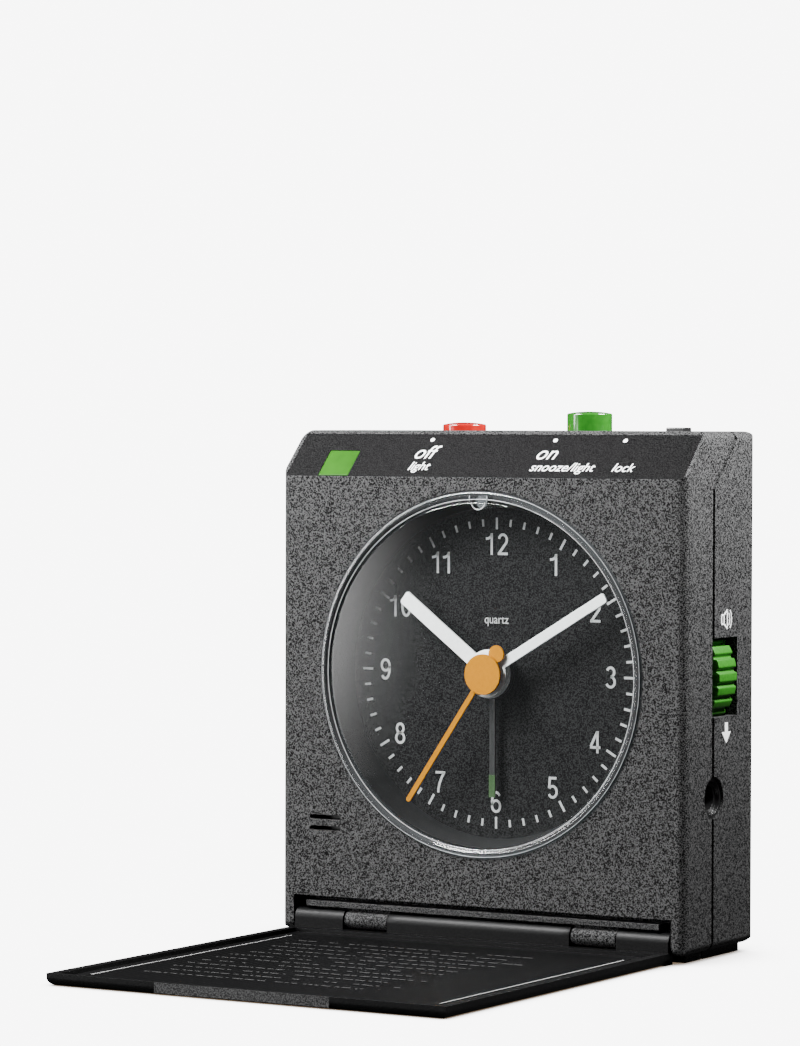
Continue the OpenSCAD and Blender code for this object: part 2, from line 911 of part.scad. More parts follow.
module lid() color("#2b2c2f") {
    under_r = 1.2;
    far_d = hinge_d - lid_reach;
    rim = 1.5;
    rim_far = 0.7;
    tab_half = 14.3;
    difference() {
        union() {
            // Plate with its lower outer edges rounded
            intersection() {
                block([-lid_half, lid_half], [far_d, -0.2], [0, lid_t]);
                across(-lid_half, lid_half)
                    translate([depth(far_d) + 45, 5])
                        rounded_rect(90, 10, under_r);
                slab(far_d, hinge_d)
                    translate([0, 5])
                        rounded_rect(2 * lid_half, 10, under_r);
            }
            block([-lid_half + 0.3, lid_half - 0.3], [-1, hinge_d], [0, hinge_z]);
            bar_x(-lid_half + 0.3, lid_half - 0.3, hinge_d, hinge_z, barrel_r);
            block([-tab_half, tab_half], [far_d, far_d + 2], [0.3, lid_t]);
        }
        // Sunk field inside the rim
        block([-lid_half + rim, lid_half - rim], [far_d + rim_far, -2], [lid_floor, hinge_z]);
        // Web in front of the barrel leaves no step above the plate
        block([-big, big], [-2.2, -0.2], [lid_t, hinge_z + 2]);
        // Notches that take the lugs
        for (x = [-lug_x, lug_x])
            block([x - notch_w / 2, x + notch_w / 2], [-0.2, pocket_d], [hinge_z - 1.5, hinge_z + 2]);
        for (x = [-lug_x, lug_x])
            bar_x(x - pin_len / 2 - 0.2, x + pin_len / 2 + 0.2, hinge_d, hinge_z, pin_r + 0.06);
    }
}

module lid_label() color("#222326") {
    block([-28.8, 28.8], [-62.5, -5], [lid_floor, lid_floor + 0.1]);
}

// Top controls

// Button with side tabs under the case's top; depth is the stem's end
module top_button(x, r, top, tabs_z, stem_z) {
    translate([x, depth(top_d), 0]) {
        translate([0, 0, tabs_z])
            cylinder(h = top - tabs_z - 0.5, r = r);
        translate([0, 0, top - 0.5])
            cylinder(h = 0.5, r1 = r, r2 = r - 0.5);
        translate([-flange_w / 2, -flange_d / 2, tabs_z])
            cube([flange_w, flange_d, flange_t]);
        translate([0, 0, stem_z])
            cylinder(h = tabs_z - stem_z + 0.1, r = stem_r);
    }
}

stem_lift = button_travel / 2 + rocker_tip_r + tip_gap;

module on_button() color("#2fae4e") {
    top_button(on_x, on_r, on_top, on_flange_z, rocker_z + stem_lift);
}

module off_button() color("#c8202c") {
    top_button(off_x, off_r, off_top, on_flange_z - button_travel,
               rocker_z + stem_lift - button_travel);
}

module button_rocker() color("#dcd8cc") {
    translate([rocker_x, depth(top_d), rocker_z])
        rotate([90, -rocker_tilt, 0])
            translate([0, 0, -rocker_w / 2])
                linear_extrude(rocker_w)
                    difference() {
                        union() {
                            square([2 * rocker_arm, 2 * rocker_tip_r], center = true);
                            for (x = [-1, 1])
                                translate([x * rocker_arm, 0])
                                    circle(rocker_tip_r);
                            circle(1.5);
                        }
                        circle(rocker_pin_r + fit);
                    }
}

module rocker_pin() color("#c4c6ca") {
    bar_y(13, body_d - 1.4, rocker_x, rocker_z, rocker_pin_r);
}

module lock_slider() color("#1d1e20") {
    plate_z = body_h - wall - 0.9;
    block([lock_x - lock_w / 2, lock_x + lock_w / 2], [top_d - 1.6, top_d + 1.6],
          [plate_z, body_h + 0.55]);
    block([lock_x - 5.9, lock_x + 5.9], [top_d - 3, top_d + 3], [plate_z, plate_z + 0.8]);
}

// Side controls

module volume_wheel() color("#3f9e56") {
    rib_r = 0.45;
    difference() {
        bar_y(wheel_d0, wheel_d1, wheel_x, wheel_z, wheel_r);
        bar_y(wheel_d0 - 1, wheel_d1 + 1, wheel_x, wheel_z, pot_shaft_r + fit);
        for (i = [0:wheel_ribs - 1]) {
            at = polar(wheel_r + 0.2, i * 360 / wheel_ribs);
            bar_y(wheel_d0 - 1, wheel_d1 + 1, wheel_x + at[0], wheel_z + at[1], rib_r);
        }
    }
}

module volume_pot() color("#3a3b3e") {
    bar_y(wheel_d1 + 0.3, 19.2, wheel_x, wheel_z, 5);
    bar_y(wheel_d0 + 0.2, wheel_d1 + 0.4, wheel_x, wheel_z, pot_shaft_r);
}

module jack_socket() color("#141416") {
    difference() {
        union() {
            bar_x(half_w - 8, half_w - 0.4, jack_d, jack_z, jack_r - fit);
            block([half_w - 12, half_w - 8], [jack_d - 3, jack_d + 3], [jack_z - 3, jack_z + 3]);
        }
        bar_x(half_w - 1, half_w, jack_d, jack_z, jack_r - 0.6);
        bar_x(half_w - 7, half_w, jack_d, jack_z, jack_bore_r);
    }
}

front_shell();
rear_shell();
control_strip();
alarm_window();
crystal();
crystal_ring();
dial_wall();
dial_plate();
dial_lamp();
movement_base();
movement_cover();
stator();
coil();
circuit_board();
quartz_can();
ic_chip();
speaker();
battery();
battery_door();
battery_spring();
battery_contact();
case_screws();
movement_screws();
hinge_bracket();
hinge_pins();
jack_socket();
volume_pot();
alarm_switch();
light_switch();
lid();
lid_label();
off_button();
on_button();
button_rocker();
rocker_pin();
lock_slider();
volume_wheel();
second_hand();
seconds_wheel();
minute_hand();
centre_wheel();
hour_hand();
hour_wheel();
alarm_hand();
alarm_wheel();
third_wheel();
fifth_wheel();
rotor();
motion_wheel();
time_stem();
time_knob();
alarm_stem();
alarm_knob();
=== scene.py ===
"""Looks of a travel alarm clock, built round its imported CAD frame.

Every length is in metres, +X is to the right seen from the front, +Y goes back and +Z is up.
A piece's object sits at the origin and its place is in its mesh.
"""

import logging
import math
from dataclasses import dataclass, field
from enum import Enum

import bmesh
import bpy
import numpy as np
from mathutils import Matrix, Vector


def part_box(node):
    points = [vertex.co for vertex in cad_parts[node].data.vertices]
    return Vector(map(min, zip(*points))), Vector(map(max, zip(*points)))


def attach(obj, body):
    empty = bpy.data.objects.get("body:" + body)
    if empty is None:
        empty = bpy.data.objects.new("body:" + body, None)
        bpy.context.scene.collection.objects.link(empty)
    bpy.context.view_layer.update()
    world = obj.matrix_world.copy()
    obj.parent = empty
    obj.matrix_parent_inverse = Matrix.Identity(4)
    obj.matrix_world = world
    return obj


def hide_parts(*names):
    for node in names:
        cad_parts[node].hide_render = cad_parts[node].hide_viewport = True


Colour = tuple[float, float, float]
Shape = tuple[np.ndarray, object]  # points, and the point numbers of each face
MM = 0.001
INV_ROOT2 = 1 / math.sqrt(2)
FLAT_DEGREES = 0.3  # faces of a copied CAD mesh that meet at less than this are one
SHARP_DEGREES = 28.0  # edges sharper than this are rounded
log = logging.getLogger("clock")


class Side(Enum):
    """Way in which a flat drawing faces once it is put on the object."""

    FRONT = "front"
    RIGHT = "right"
    BACK = "back"
    UP = "up"
    SLOPE = "slope"


# Finishes


class NodeTree:
    """Short way to add and join shader nodes."""

    def __init__(self, tree: bpy.types.NodeTree) -> None:
        """Keeps the tree.

        Args:
            tree: Node tree of a material or of a node group.
        """
        self.tree = tree

    def add(self, kind: str, **settings: object) -> bpy.types.Node:
        """Adds a node and sets its properties.

        Args:
            kind: Type of the node, without its ShaderNode prefix.
            settings: Properties of the node by name.

        Returns:
            The new node.
        """
        name = kind if kind.startswith("NodeGroup") else "ShaderNode" + kind
        node = self.tree.nodes.new(name)
        for key, value in settings.items():
            setattr(node, key, value)
        return node

    def join(self, source: bpy.types.NodeSocket, target: bpy.types.NodeSocket) -> None:
        """Links one socket to another."""
        self.tree.links.new(source, target)

    def math(self, operation: str, a: object, b: object) -> bpy.types.NodeSocket:
        """Adds a Math node whose inputs are sockets or numbers.

        Args:
            operation: Name of the operation, such as MULTIPLY.
            a: First input.
            b: Second input.

        Returns:
            The socket with the result.
        """
        node = self.add("Math", operation=operation)
        for slot, value in zip(node.inputs, (a, b)):
            if isinstance(value, bpy.types.NodeSocket):
                self.join(value, slot)
            else:
                slot.default_value = value
        return node.outputs[0]


def new_material(name: str) -> tuple[bpy.types.Material, NodeTree]:
    """Makes a material with a Principled shader.

    Args:
        name: Name of the material.

    Returns:
        The material and its NodeTree.
    """
    made = bpy.data.materials.new(name)
    made.use_nodes = True
    return made, NodeTree(made.node_tree)


def new_group(name: str, inputs: dict[str, float], outputs: tuple[str, ...]) -> tuple:
    """Makes an empty shader node group of numbers.

    Args:
        name: Name of the group.
        inputs: Default value of each input by name.
        outputs: Names of the outputs.

    Returns:
        The group, its NodeTree, its input node and its output node.
    """
    group = bpy.data.node_groups.new(name, "ShaderNodeTree")
    for key, value in inputs.items():
        socket = group.interface.new_socket(key, in_out="INPUT", socket_type="NodeSocketFloat")
        socket.default_value = value
    for key in outputs:
        group.interface.new_socket(key, in_out="OUTPUT", socket_type="NodeSocketFloat")
    nodes = NodeTree(group)
    return group, nodes, nodes.add("NodeGroupInput"), nodes.add("NodeGroupOutput")


def grain_group() -> bpy.types.NodeTree:
    """Spark-eroded moulding grain: fine speckle over slow cloudiness.

    Speckle is a fine noise, steepened round its middle. Cloud is a noise at a
    hundredth of its scale, which shifts brightness and gloss a little.

    Returns:
        The group, with outputs Speckle, Cloud and Height.
    """
    group, nodes, given, made = new_group(
        "moulded_grain", {"Scale": 4000.0, "Contrast": 2.5}, ("Speckle", "Cloud", "Height")
    )
    place = nodes.add("TexCoord")
    fine = nodes.add("TexNoise")
    fine.inputs["Detail"].default_value = 1.5
    nodes.join(place.outputs["Object"], fine.inputs["Vector"])
    nodes.join(given.outputs["Scale"], fine.inputs["Scale"])
    slow = nodes.add("TexNoise")
    slow.inputs["Detail"].default_value = 3.0
    nodes.join(place.outputs["Object"], slow.inputs["Vector"])
    nodes.join(nodes.math("MULTIPLY", given.outputs["Scale"], 0.012), slow.inputs["Scale"])
    centred = nodes.math("SUBTRACT", fine.outputs["Fac"], 0.5)
    steep = nodes.math("MULTIPLY", centred, given.outputs["Contrast"])
    speckle = nodes.add("Math", operation="ADD", use_clamp=True)
    nodes.join(steep, speckle.inputs[0])
    speckle.inputs[1].default_value = 0.5
    nodes.join(speckle.outputs[0], made.inputs["Speckle"])
    nodes.join(slow.outputs["Fac"], made.inputs["Cloud"])
    nodes.join(fine.outputs["Fac"], made.inputs["Height"])
    return group


def ribbing_group() -> bpy.types.NodeTree:
    """Fine parallel lines along Y, a given number to the metre across X.

    Returns:
        The group, with one output, Line, which is 1 on a line.
    """
    group, nodes, given, made = new_group("fine_lines", {"Per metre": 1000.0}, ("Line",))
    place = nodes.add("TexCoord")
    split = nodes.add("SeparateXYZ")
    nodes.join(place.outputs["Object"], split.inputs[0])
    along = nodes.math("MULTIPLY", split.outputs["X"], given.outputs["Per metre"])
    part = nodes.math("FRACT", along, 0.0)
    nodes.join(nodes.math("GREATER_THAN", part, 0.72), made.inputs["Line"])
    return group


class Effects:
    """Node groups that several materials share, each built once."""

    made: dict[str, bpy.types.NodeTree] = {}

    @classmethod
    def get(cls, name: str) -> bpy.types.NodeTree:
        """Returns the group of that name, building it the first time.

        Args:
            name: "grain" or "lines".

        Returns:
            The node group.
        """
        makers = {"grain": grain_group, "lines": ribbing_group}
        if name not in cls.made:
            cls.made[name] = makers[name]()
        return cls.made[name]


@dataclass(frozen=True)
class Finish:
    """A surface finish: two tones of speckle, a range of roughness and a relief.

    Attributes:
        name: Name of the material.
        dark: Colour in the speckle's hollows.
        light: Colour on the speckle's grains.
        rough: Roughness where the surface is glossiest and dullest.
        scale: Grains to the metre.
        relief: Height of the grain in metres.
        contrast: How sharply the two tones part.
        metallic: 1 for bare metal.
        coat: Weight of a clear coat.
        specular: Specular level.
        lines: Fine lines to the metre, or 0 for none.
    """

    name: str
    dark: Colour
    light: Colour
    rough: tuple[float, float]
    scale: float = 4000.0
    relief: float = 0.0
    contrast: float = 2.5
    metallic: float = 0.0
    coat: float = 0.0
    specular: float = 0.5
    lines: float = 0.0

    def material(self) -> bpy.types.Material:
        """Builds the material, or returns it if it was built before.

        Returns:
            The material.
        """
        old = bpy.data.materials.get(self.name + "_finish")
        if old is not None:
            return old
        made, nodes = new_material(self.name + "_finish")
        shader = made.node_tree.nodes["Principled BSDF"]
        shader.inputs["Metallic"].default_value = self.metallic
        shader.inputs["Coat Weight"].default_value = self.coat
        shader.inputs["Coat Roughness"].default_value = 0.08
        shader.inputs["Specular IOR Level"].default_value = self.specular
        grain = nodes.add("Group", node_tree=Effects.get("grain"))
        grain.inputs["Scale"].default_value = self.scale
        grain.inputs["Contrast"].default_value = self.contrast
        tone = nodes.add("Mix", data_type="RGBA")
        tone.inputs["A"].default_value = (*self.dark, 1)
        tone.inputs["B"].default_value = (*self.light, 1)
        mask = grain.outputs["Speckle"]
        if self.lines:
            lines = nodes.add("Group", node_tree=Effects.get("lines"))
            lines.inputs["Per metre"].default_value = self.lines
            mask = nodes.math("MULTIPLY", mask, lines.outputs["Line"])
        nodes.join(mask, tone.inputs["Factor"])
        nodes.join(tone.outputs["Result"], shader.inputs["Base Color"])
        gloss = nodes.add("MapRange")
        gloss.inputs["To Min"].default_value = self.rough[0]
        gloss.inputs["To Max"].default_value = self.rough[1]
        nodes.join(grain.outputs["Cloud"], gloss.inputs["Value"])
        nodes.join(gloss.outputs["Result"], shader.inputs["Roughness"])
        if self.relief:
            bump = nodes.add("Bump")
            bump.inputs["Distance"].default_value = self.relief
            nodes.join(grain.outputs["Height"], bump.inputs["Height"])
            nodes.join(bump.outputs["Normal"], shader.inputs["Normal"])
        return made


@dataclass(frozen=True)
class ClearFinish:
    """A thin clear moulding: see-through, with a reflection that grows at a slant.

    Only faces towards the ray reflect, so that light at a slant still gets out.

    Attributes:
        name: Name of the material.
        tint: Colour of the light that passes.
        rough: Roughness of the reflection.
        ior: Index of refraction that sets the reflection's strength.
        haze: Share of the light that the surface scatters.
    """

    name: str
    tint: Colour
    rough: float
    ior: float
    haze: float

    def material(self) -> bpy.types.Material:
        """Builds the material, or returns it if it was built before.

        Returns:
            The material.
        """
        old = bpy.data.materials.get(self.name + "_finish")
        if old is not None:
            return old
        made, nodes = new_material(self.name + "_finish")
        shader = made.node_tree.nodes["Principled BSDF"]
        shader.inputs["Base Color"].default_value = (0.75, 0.78, 0.8, 1)
        shader.inputs["Roughness"].default_value = self.rough
        shader.inputs["Coat Weight"].default_value = 1.0
        passing = nodes.add("BsdfTransparent")
        passing.inputs["Color"].default_value = (*self.tint, 1)
        glance = nodes.add("Fresnel")
        glance.inputs["IOR"].default_value = self.ior
        shine = nodes.add("BsdfGlossy")
        shine.inputs["Roughness"].default_value = self.rough
        clear = nodes.add("MixShader")
        front = nodes.math("SUBTRACT", 1.0, nodes.add("NewGeometry").outputs["Backfacing"])
        nodes.join(nodes.math("MULTIPLY", glance.outputs[0], front), clear.inputs[0])
        nodes.join(passing.outputs[0], clear.inputs[1])
        nodes.join(shine.outputs[0], clear.inputs[2])
        hazy = nodes.add("MixShader")
        hazy.inputs[0].default_value = self.haze
        nodes.join(clear.outputs[0], hazy.inputs[1])
        nodes.join(shader.outputs[0], hazy.inputs[2])
        nodes.join(hazy.outputs[0], made.node_tree.nodes["Material Output"].inputs["Surface"])
        return made


CASE_FRONT = Finish("case_front", (0.0006, 0.0006, 0.0007), (0.056, 0.056, 0.0563), (0.5, 0.6),
                    scale=5300, relief=5e-5, contrast=7.0, specular=0.04)
CASE_REAR = Finish("case_rear", (0.0006, 0.0006, 0.0007), (0.055, 0.055, 0.0553), (0.5, 0.6),
                   scale=5300, relief=4e-5, contrast=6.0, specular=0.04)
STRIP = Finish("strip", (0.0002, 0.0002, 0.0003), (0.009, 0.009, 0.0091), (0.46, 0.56),
               scale=5300, relief=3e-5, contrast=6.0, specular=0.03)
LID_SHELL = Finish("lid_shell", (0.0004, 0.0004, 0.0005), (0.002, 0.002, 0.0021), (0.4, 0.5),
                   scale=3300, relief=1.6e-5, contrast=6.0, specular=0.12)
# Painted light: a lighter, grained copy of the cover's black for the tab's front face, which is lit
# where the rest of the cover's edge is shaded.
LID_TAB_PAINTED_LIGHT = Finish("lid_tab_painted_light", (0.002, 0.002, 0.0021), (0.05, 0.05, 0.0505), (0.5, 0.6),
                 scale=5300, relief=3e-5, contrast=6.0, specular=0.2)
LABEL = Finish("label", (0.0004, 0.0004, 0.0005), (0.006, 0.006, 0.0061), (0.4, 0.5),
               scale=2500, contrast=1.6, lines=900, specular=0.06)
DIAL = Finish("dial", (0.0003, 0.0003, 0.0004), (0.016, 0.016, 0.0161), (0.5, 0.6),
              scale=5300, relief=2e-5, contrast=6.0, specular=0.03)
DIAL_WALL = Finish("dial_wall", (0.004, 0.004, 0.0042), (0.012, 0.012, 0.0122), (0.34, 0.44),
                   scale=3000)
BLACK = Finish("black_plastic", (0.002, 0.002, 0.0021), (0.008, 0.008, 0.0082), (0.28, 0.4),
               scale=3500, relief=3e-6)
PRINT_WHITE = Finish("print_white", (0.74, 0.74, 0.735), (0.9, 0.9, 0.895), (0.5, 0.62),
                     scale=3000)
PRINT_GREY = Finish("print_grey", (0.3, 0.3, 0.298), (0.38, 0.38, 0.378), (0.5, 0.6),
                    scale=3000)
# Painted highlight: a pale glossy colour for beads and lines that stand in for glints on the ring and
# round the lamp niche.
PAINTED_EDGE_HIGHLIGHT = Finish("painted_edge_highlight", (0.3, 0.31, 0.315), (0.42, 0.43, 0.435), (0.14, 0.24),
                    scale=900, coat=0.5)
PRINT_DIM = Finish("print_dim", (0.01, 0.01, 0.01), (0.04, 0.04, 0.04), (0.5, 0.62),
                   scale=3000)
HAND_WHITE = Finish("hand_white", (0.84, 0.845, 0.84), (0.92, 0.925, 0.92), (0.3, 0.4),
                    scale=1800, relief=1e-6, coat=0.2)
HAND_YELLOW = Finish("hand_yellow", (0.38, 0.145, 0.0003), (0.42, 0.16, 0.0004), (0.4, 0.5),
                     scale=1800, relief=1e-6, specular=0.03)
HAND_BLACK = Finish("hand_black", (0.002, 0.002, 0.0021), (0.006, 0.006, 0.0061),
                    (0.34, 0.44), scale=2500)
HAND_GREEN = Finish("hand_green", (0.01, 0.04, 0.004), (0.015, 0.055, 0.006), (0.34, 0.44),
                    scale=2500)
RED = Finish("button_red", (0.2, 0.004, 0.003), (0.25, 0.005, 0.004), (0.1, 0.18),
             scale=900, coat=0.5)
GREEN = Finish("button_green", (0.008, 0.07, 0.005), (0.012, 0.09, 0.007), (0.1, 0.18),
               scale=900, coat=0.5)
WHEEL_GREEN = Finish("wheel_green", (0.014, 0.1, 0.007), (0.022, 0.14, 0.01), (0.4, 0.5),
                     scale=3000, relief=2e-6, specular=0.2)
WINDOW_GREEN = Finish("window_green", (0.01, 0.055, 0.002), (0.014, 0.075, 0.003), (0.3, 0.4),
                      scale=350, coat=0.0, specular=0.1)
STEEL = Finish("steel", (0.46, 0.47, 0.48), (0.6, 0.61, 0.62), (0.24, 0.38), scale=2500,
               relief=2e-6, metallic=1.0)
COPPER = Finish("copper", (0.42, 0.15, 0.05), (0.62, 0.26, 0.1), (0.3, 0.42), scale=6000,
                relief=8e-6, metallic=1.0)
BOARD = Finish("board", (0.01, 0.09, 0.03), (0.02, 0.15, 0.05), (0.22, 0.34), scale=900,
               coat=0.3)
CELL = Finish("cell", (0.45, 0.32, 0.08), (0.58, 0.43, 0.14), (0.25, 0.35), scale=1500,
              metallic=0.8, coat=0.3)
CREAM = Finish("cream_plastic", (0.68, 0.65, 0.55), (0.78, 0.75, 0.65), (0.4, 0.5),
               scale=2500, relief=2e-6)
GEAR = Finish("gear_plastic", (0.7, 0.64, 0.46), (0.8, 0.74, 0.56), (0.36, 0.46),
              scale=2500, relief=1e-6)
CRYSTAL = ClearFinish("crystal_clear", (0.97, 0.98, 0.98), 0.03, 1.45, 0.003)
RING_CLEAR = ClearFinish("ring_clear", (0.8, 0.82, 0.83), 0.1, 1.6, 0.03)
LAMP_CLEAR = ClearFinish("lamp_clear", (0.8, 0.82, 0.8), 0.1, 1.6, 0.2)

AnyFinish = Finish | ClearFinish


# Surfaces


def grid_faces(rows: int, columns: int, closed: bool) -> np.ndarray:
    """Joins a grid of points, stored row by row, with four-sided faces.

    Args:
        rows: Number of rows of points.
        columns: Number of points in a row.
        closed: True if each row's last point joins its first.

    Returns:
        Faces as an array of point numbers, four to a row.
    """
    i = np.arange(rows - 1)[:, None]
    j = np.arange(columns if closed else columns - 1)[None, :]
    k = (j + 1) % columns
    corners = (i * columns + j, i * columns + k, (i + 1) * columns + k, (i + 1) * columns + j)
    return np.stack(corners, axis=-1).reshape(-1, 4)


def rounded_profile(corners: list[tuple[float, float]], radius: float,
                    steps: int = 6) -> np.ndarray:
    """Rounds the inner corners of an open line of points.

    Each corner becomes a quadratic curve from one radius before it to one radius
    after it, or to the middle of a shorter side.

    Args:
        corners: Corners of the line.
        radius: How far from the corner the rounding starts.
        steps: Points on each rounding, less one.

    Returns:
        Points of the rounded line.
    """
    p = np.array(corners, float)
    before, at, after = p[:-2], p[1:-1], p[2:]
    back, ahead = before - at, after - at
    back_length = np.linalg.norm(back, axis=1)[:, None]
    ahead_length = np.linalg.norm(ahead, axis=1)[:, None]
    cut = np.minimum(radius, 0.5 * np.minimum(back_length, ahead_length))
    start = at + back / back_length * cut
    end = at + ahead / ahead_length * cut
    t = np.linspace(0, 1, steps + 1)[None, :, None]
    curve = (1 - t) ** 2 * start[:, None] + 2 * t * (1 - t) * at[:, None] + t**2 * end[:, None]
    return np.vstack([p[:1], curve.reshape(-1, 2), p[-1:]])


def turned(profile: np.ndarray, around: int = 96, flutes: int = 0, depth: float = 0.0,
           fluted: tuple[float, float] = (0.0, 0.0)) -> Shape:
    """Carries a profile round the Z axis.

    A point is (r cos a, r sin a, h), where r and h come from the profile. Inside
    the fluted band of heights, r is less by the flute's depth times a smooth dip
    that repeats round the axis.

    Args:
        profile: Radius and height of each point, from the axis to the axis.
        around: Number of points round the axis.
        flutes: Number of flutes.
        depth: Depth of a flute.
        fluted: Lowest and highest fluted height.

    Returns:
        The shape.
    """
    a = np.arange(around) * 2 * math.pi / around
    r = np.repeat(profile[:, :1], around, axis=1)
    h = np.repeat(profile[:, 1:], around, axis=1)
    if flutes:
        band = (h >= fluted[0] - 1e-9) & (h <= fluted[1] + 1e-9) & (r > 0.5 * profile[:, 0].max())
        dip = 0.5 - 0.5 * np.tanh(5 * (0.55 - np.abs(np.cos(a * flutes / 2))))
        r = r - band * depth * dip[None, :]
    points = np.stack([r * np.cos(a), r * np.sin(a), h], axis=-1).reshape(-1, 3)
    return points, grid_faces(len(profile), around, True)


def slab(outline: np.ndarray, thick: float) -> Shape:
    """Gives a closed outline a thickness, from Z 0 up.

    Args:
        outline: Points of the outline, anticlockwise, X and Y.
        thick: Thickness.

    Returns:
        The shape: the bottom, the top and the sides.
    """
    n = len(outline)
    low = np.column_stack([outline, np.zeros(n)])
    high = low + (0, 0, thick)
    sides = grid_faces(2, n, True)
    faces = [list(range(n))[::-1], list(range(n, 2 * n)), *sides.tolist()]
    return np.vstack([low, high]), faces


def bars(a: np.ndarray, b: np.ndarray, width: np.ndarray, thick: float) -> Shape:
    """Many straight flat bars at once, each from a point to a point.

    A bar's four corners are its two ends, moved half its width to either side.

    Args:
        a: Start of each bar, X and Y.
        b: End of each bar.
        width: Width of each bar.
        thick: Thickness, from Z 0 up.

    Returns:
        The shape.
    """
    along = (b - a) / np.linalg.norm(b - a, axis=1)[:, None]
    across = np.column_stack([-along[:, 1], along[:, 0]]) * np.asarray(width).reshape(-1, 1) / 2
    flat = np.stack([a - across, b - across, b + across, a + across], axis=1)
    low = np.concatenate([flat, np.zeros((len(a), 4, 1))], axis=2)
    points = np.concatenate([low, low + (0, 0, thick)], axis=1).reshape(-1, 3)
    box = np.array([[3, 2, 1, 0], [4, 5, 6, 7], [0, 1, 5, 4],
                    [1, 2, 6, 5], [2, 3, 7, 6], [3, 0, 4, 7]])
    faces = (np.arange(len(a))[:, None, None] * 8 + box[None]).reshape(-1, 4)
    return points, faces


def ribbon(path: np.ndarray, width: float, thick: float) -> Shape:
    """A flat stroke of even width along a line of points, mitred at its corners.

    At each point the two neighbouring sides' normals are added and divided by one
    plus their dot product, which keeps the width even through a corner.

    Args:
        path: Points of the line; if the last is the first, the stroke is a loop.
        width: Width of the stroke.
        thick: Thickness, from Z 0 up.

    Returns:
        The shape.
    """
    loop = bool(np.allclose(path[0], path[-1]))
    p = path[:-1] if loop else path
    ahead = np.roll(p, -1, axis=0) - p
    if not loop:
        ahead[-1] = ahead[-2]
    after = np.column_stack([-ahead[:, 1], ahead[:, 0]]) / np.linalg.norm(ahead, axis=1)[:, None]
    before = np.roll(after, 1, axis=0)
    if not loop:
        before[0] = after[0]
    out = (before + after) / (1 + np.sum(before * after, axis=1))[:, None] * width / 2
    rim = np.stack([p - out, p + out, p + out, p - out], axis=1)
    height = np.broadcast_to(np.array([0, 0, thick, thick])[None, :, None], (len(p), 4, 1))
    points = np.concatenate([rim, height], axis=2).reshape(-1, 3)
    faces = grid_faces(len(p) + loop, 4, True) % len(points)
    caps = [] if loop else [[0, 1, 2, 3], [len(points) - k for k in (1, 2, 3, 4)]]
    return points, faces.tolist() + caps


def bow(centre: tuple[float, float], radii: tuple[float, float], start: float, end: float,
        steps: int = 22) -> np.ndarray:
    """Points on part of an ellipse.

    Args:
        centre: Its middle.
        radii: Its half width and half height.
        start: First angle in degrees, anticlockwise from +X.
        end: Last angle.
        steps: Number of points.

    Returns:
        One point to a row.
    """
    a = np.radians(np.linspace(start, end, steps))
    return np.column_stack([centre[0] + radii[0] * np.cos(a), centre[1] + radii[1] * np.sin(a)])


def arc(radius: float, start: float, end: float, steps: int) -> np.ndarray:
    """Points on part of a circle round the origin, as bow gives them."""
    return bow((0, 0), (radius, radius), start, end, steps)


def joined(parts: list[Shape]) -> Shape:
    """Puts several shapes into one.

    Args:
        parts: The shapes.

    Returns:
        The one shape.
    """
    points, faces, count = [], [], 0
    for some, their_faces in parts:
        points.append(some)
        faces += [[int(k) + count for k in face] for face in their_faces]
        count += len(some)
    return np.vstack(points), faces


def facing(shape: Shape, side: Side, origin: tuple | np.ndarray) -> Shape:
    """Puts a drawing, made in X and Y and raised in Z, onto a side of the object.

    Args:
        shape: The drawing.
        side: The side that it is seen from.
        origin: Place of the drawing's origin.

    Returns:
        The drawing in the object's frame.
    """
    axes = {
        Side.FRONT: ((1, 0, 0), (0, 0, 1), (0, -1, 0)),
        Side.BACK: ((-1, 0, 0), (0, 0, 1), (0, 1, 0)),
        Side.RIGHT: ((0, 1, 0), (0, 0, 1), (1, 0, 0)),
        Side.UP: ((1, 0, 0), (0, 1, 0), (0, 0, 1)),
        Side.SLOPE: ((1, 0, 0), (0, INV_ROOT2, INV_ROOT2), (0, -INV_ROOT2, INV_ROOT2)),
    }[side]
    points, faces = shape
    return points @ np.array(axes, float) + np.asarray(origin, float), faces


# Pieces


@dataclass(frozen=True)
class Dress:
    """How a piece is finished and what it belongs to.

    Attributes:
        finish: Its finish.
        slot: The record's material slot; not used.
        body: The moving body that it rides on.
    """

    finish: AnyFinish
    slot: str
    body: str

    def put_on(self, name: str, mesh: bpy.types.Mesh) -> bpy.types.Object:
        """Makes a finished piece of a mesh.

        Args:
            name: Name of the piece.
            mesh: Its mesh.

        Returns:
            The new object.
        """
        piece = bpy.data.objects.new(name, mesh)
        bpy.context.scene.collection.objects.link(piece)
        mesh.materials.append(self.finish.material())
        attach(piece, self.body)
        log.info("piece %s on %s", name, self.body)
        return piece


def add_piece(name: str, shape: Shape, dress: Dress, smooth: bool = True,
              instead_of: str = "") -> bpy.types.Object:
    """Makes a closed mesh piece whose faces point outwards.

    Args:
        name: Name of the piece.
        shape: Its shape in the object's frame.
        dress: Its finish, slot and body.
        smooth: True to shade its faces smoothly.
        instead_of: The CAD node that it stands for, if any.

    Returns:
        The new object.
    """
    points, faces = shape
    mesh = bpy.data.meshes.new(name)
    faces = faces.tolist() if isinstance(faces, np.ndarray) else faces
    mesh.from_pydata(points.tolist(), [], faces)
    tidy_mesh(mesh)
    mesh.polygons.foreach_set("use_smooth", np.full(len(mesh.polygons), smooth))
    piece = dress.put_on(name, mesh)
    if instead_of:
        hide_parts(instead_of)
    return piece


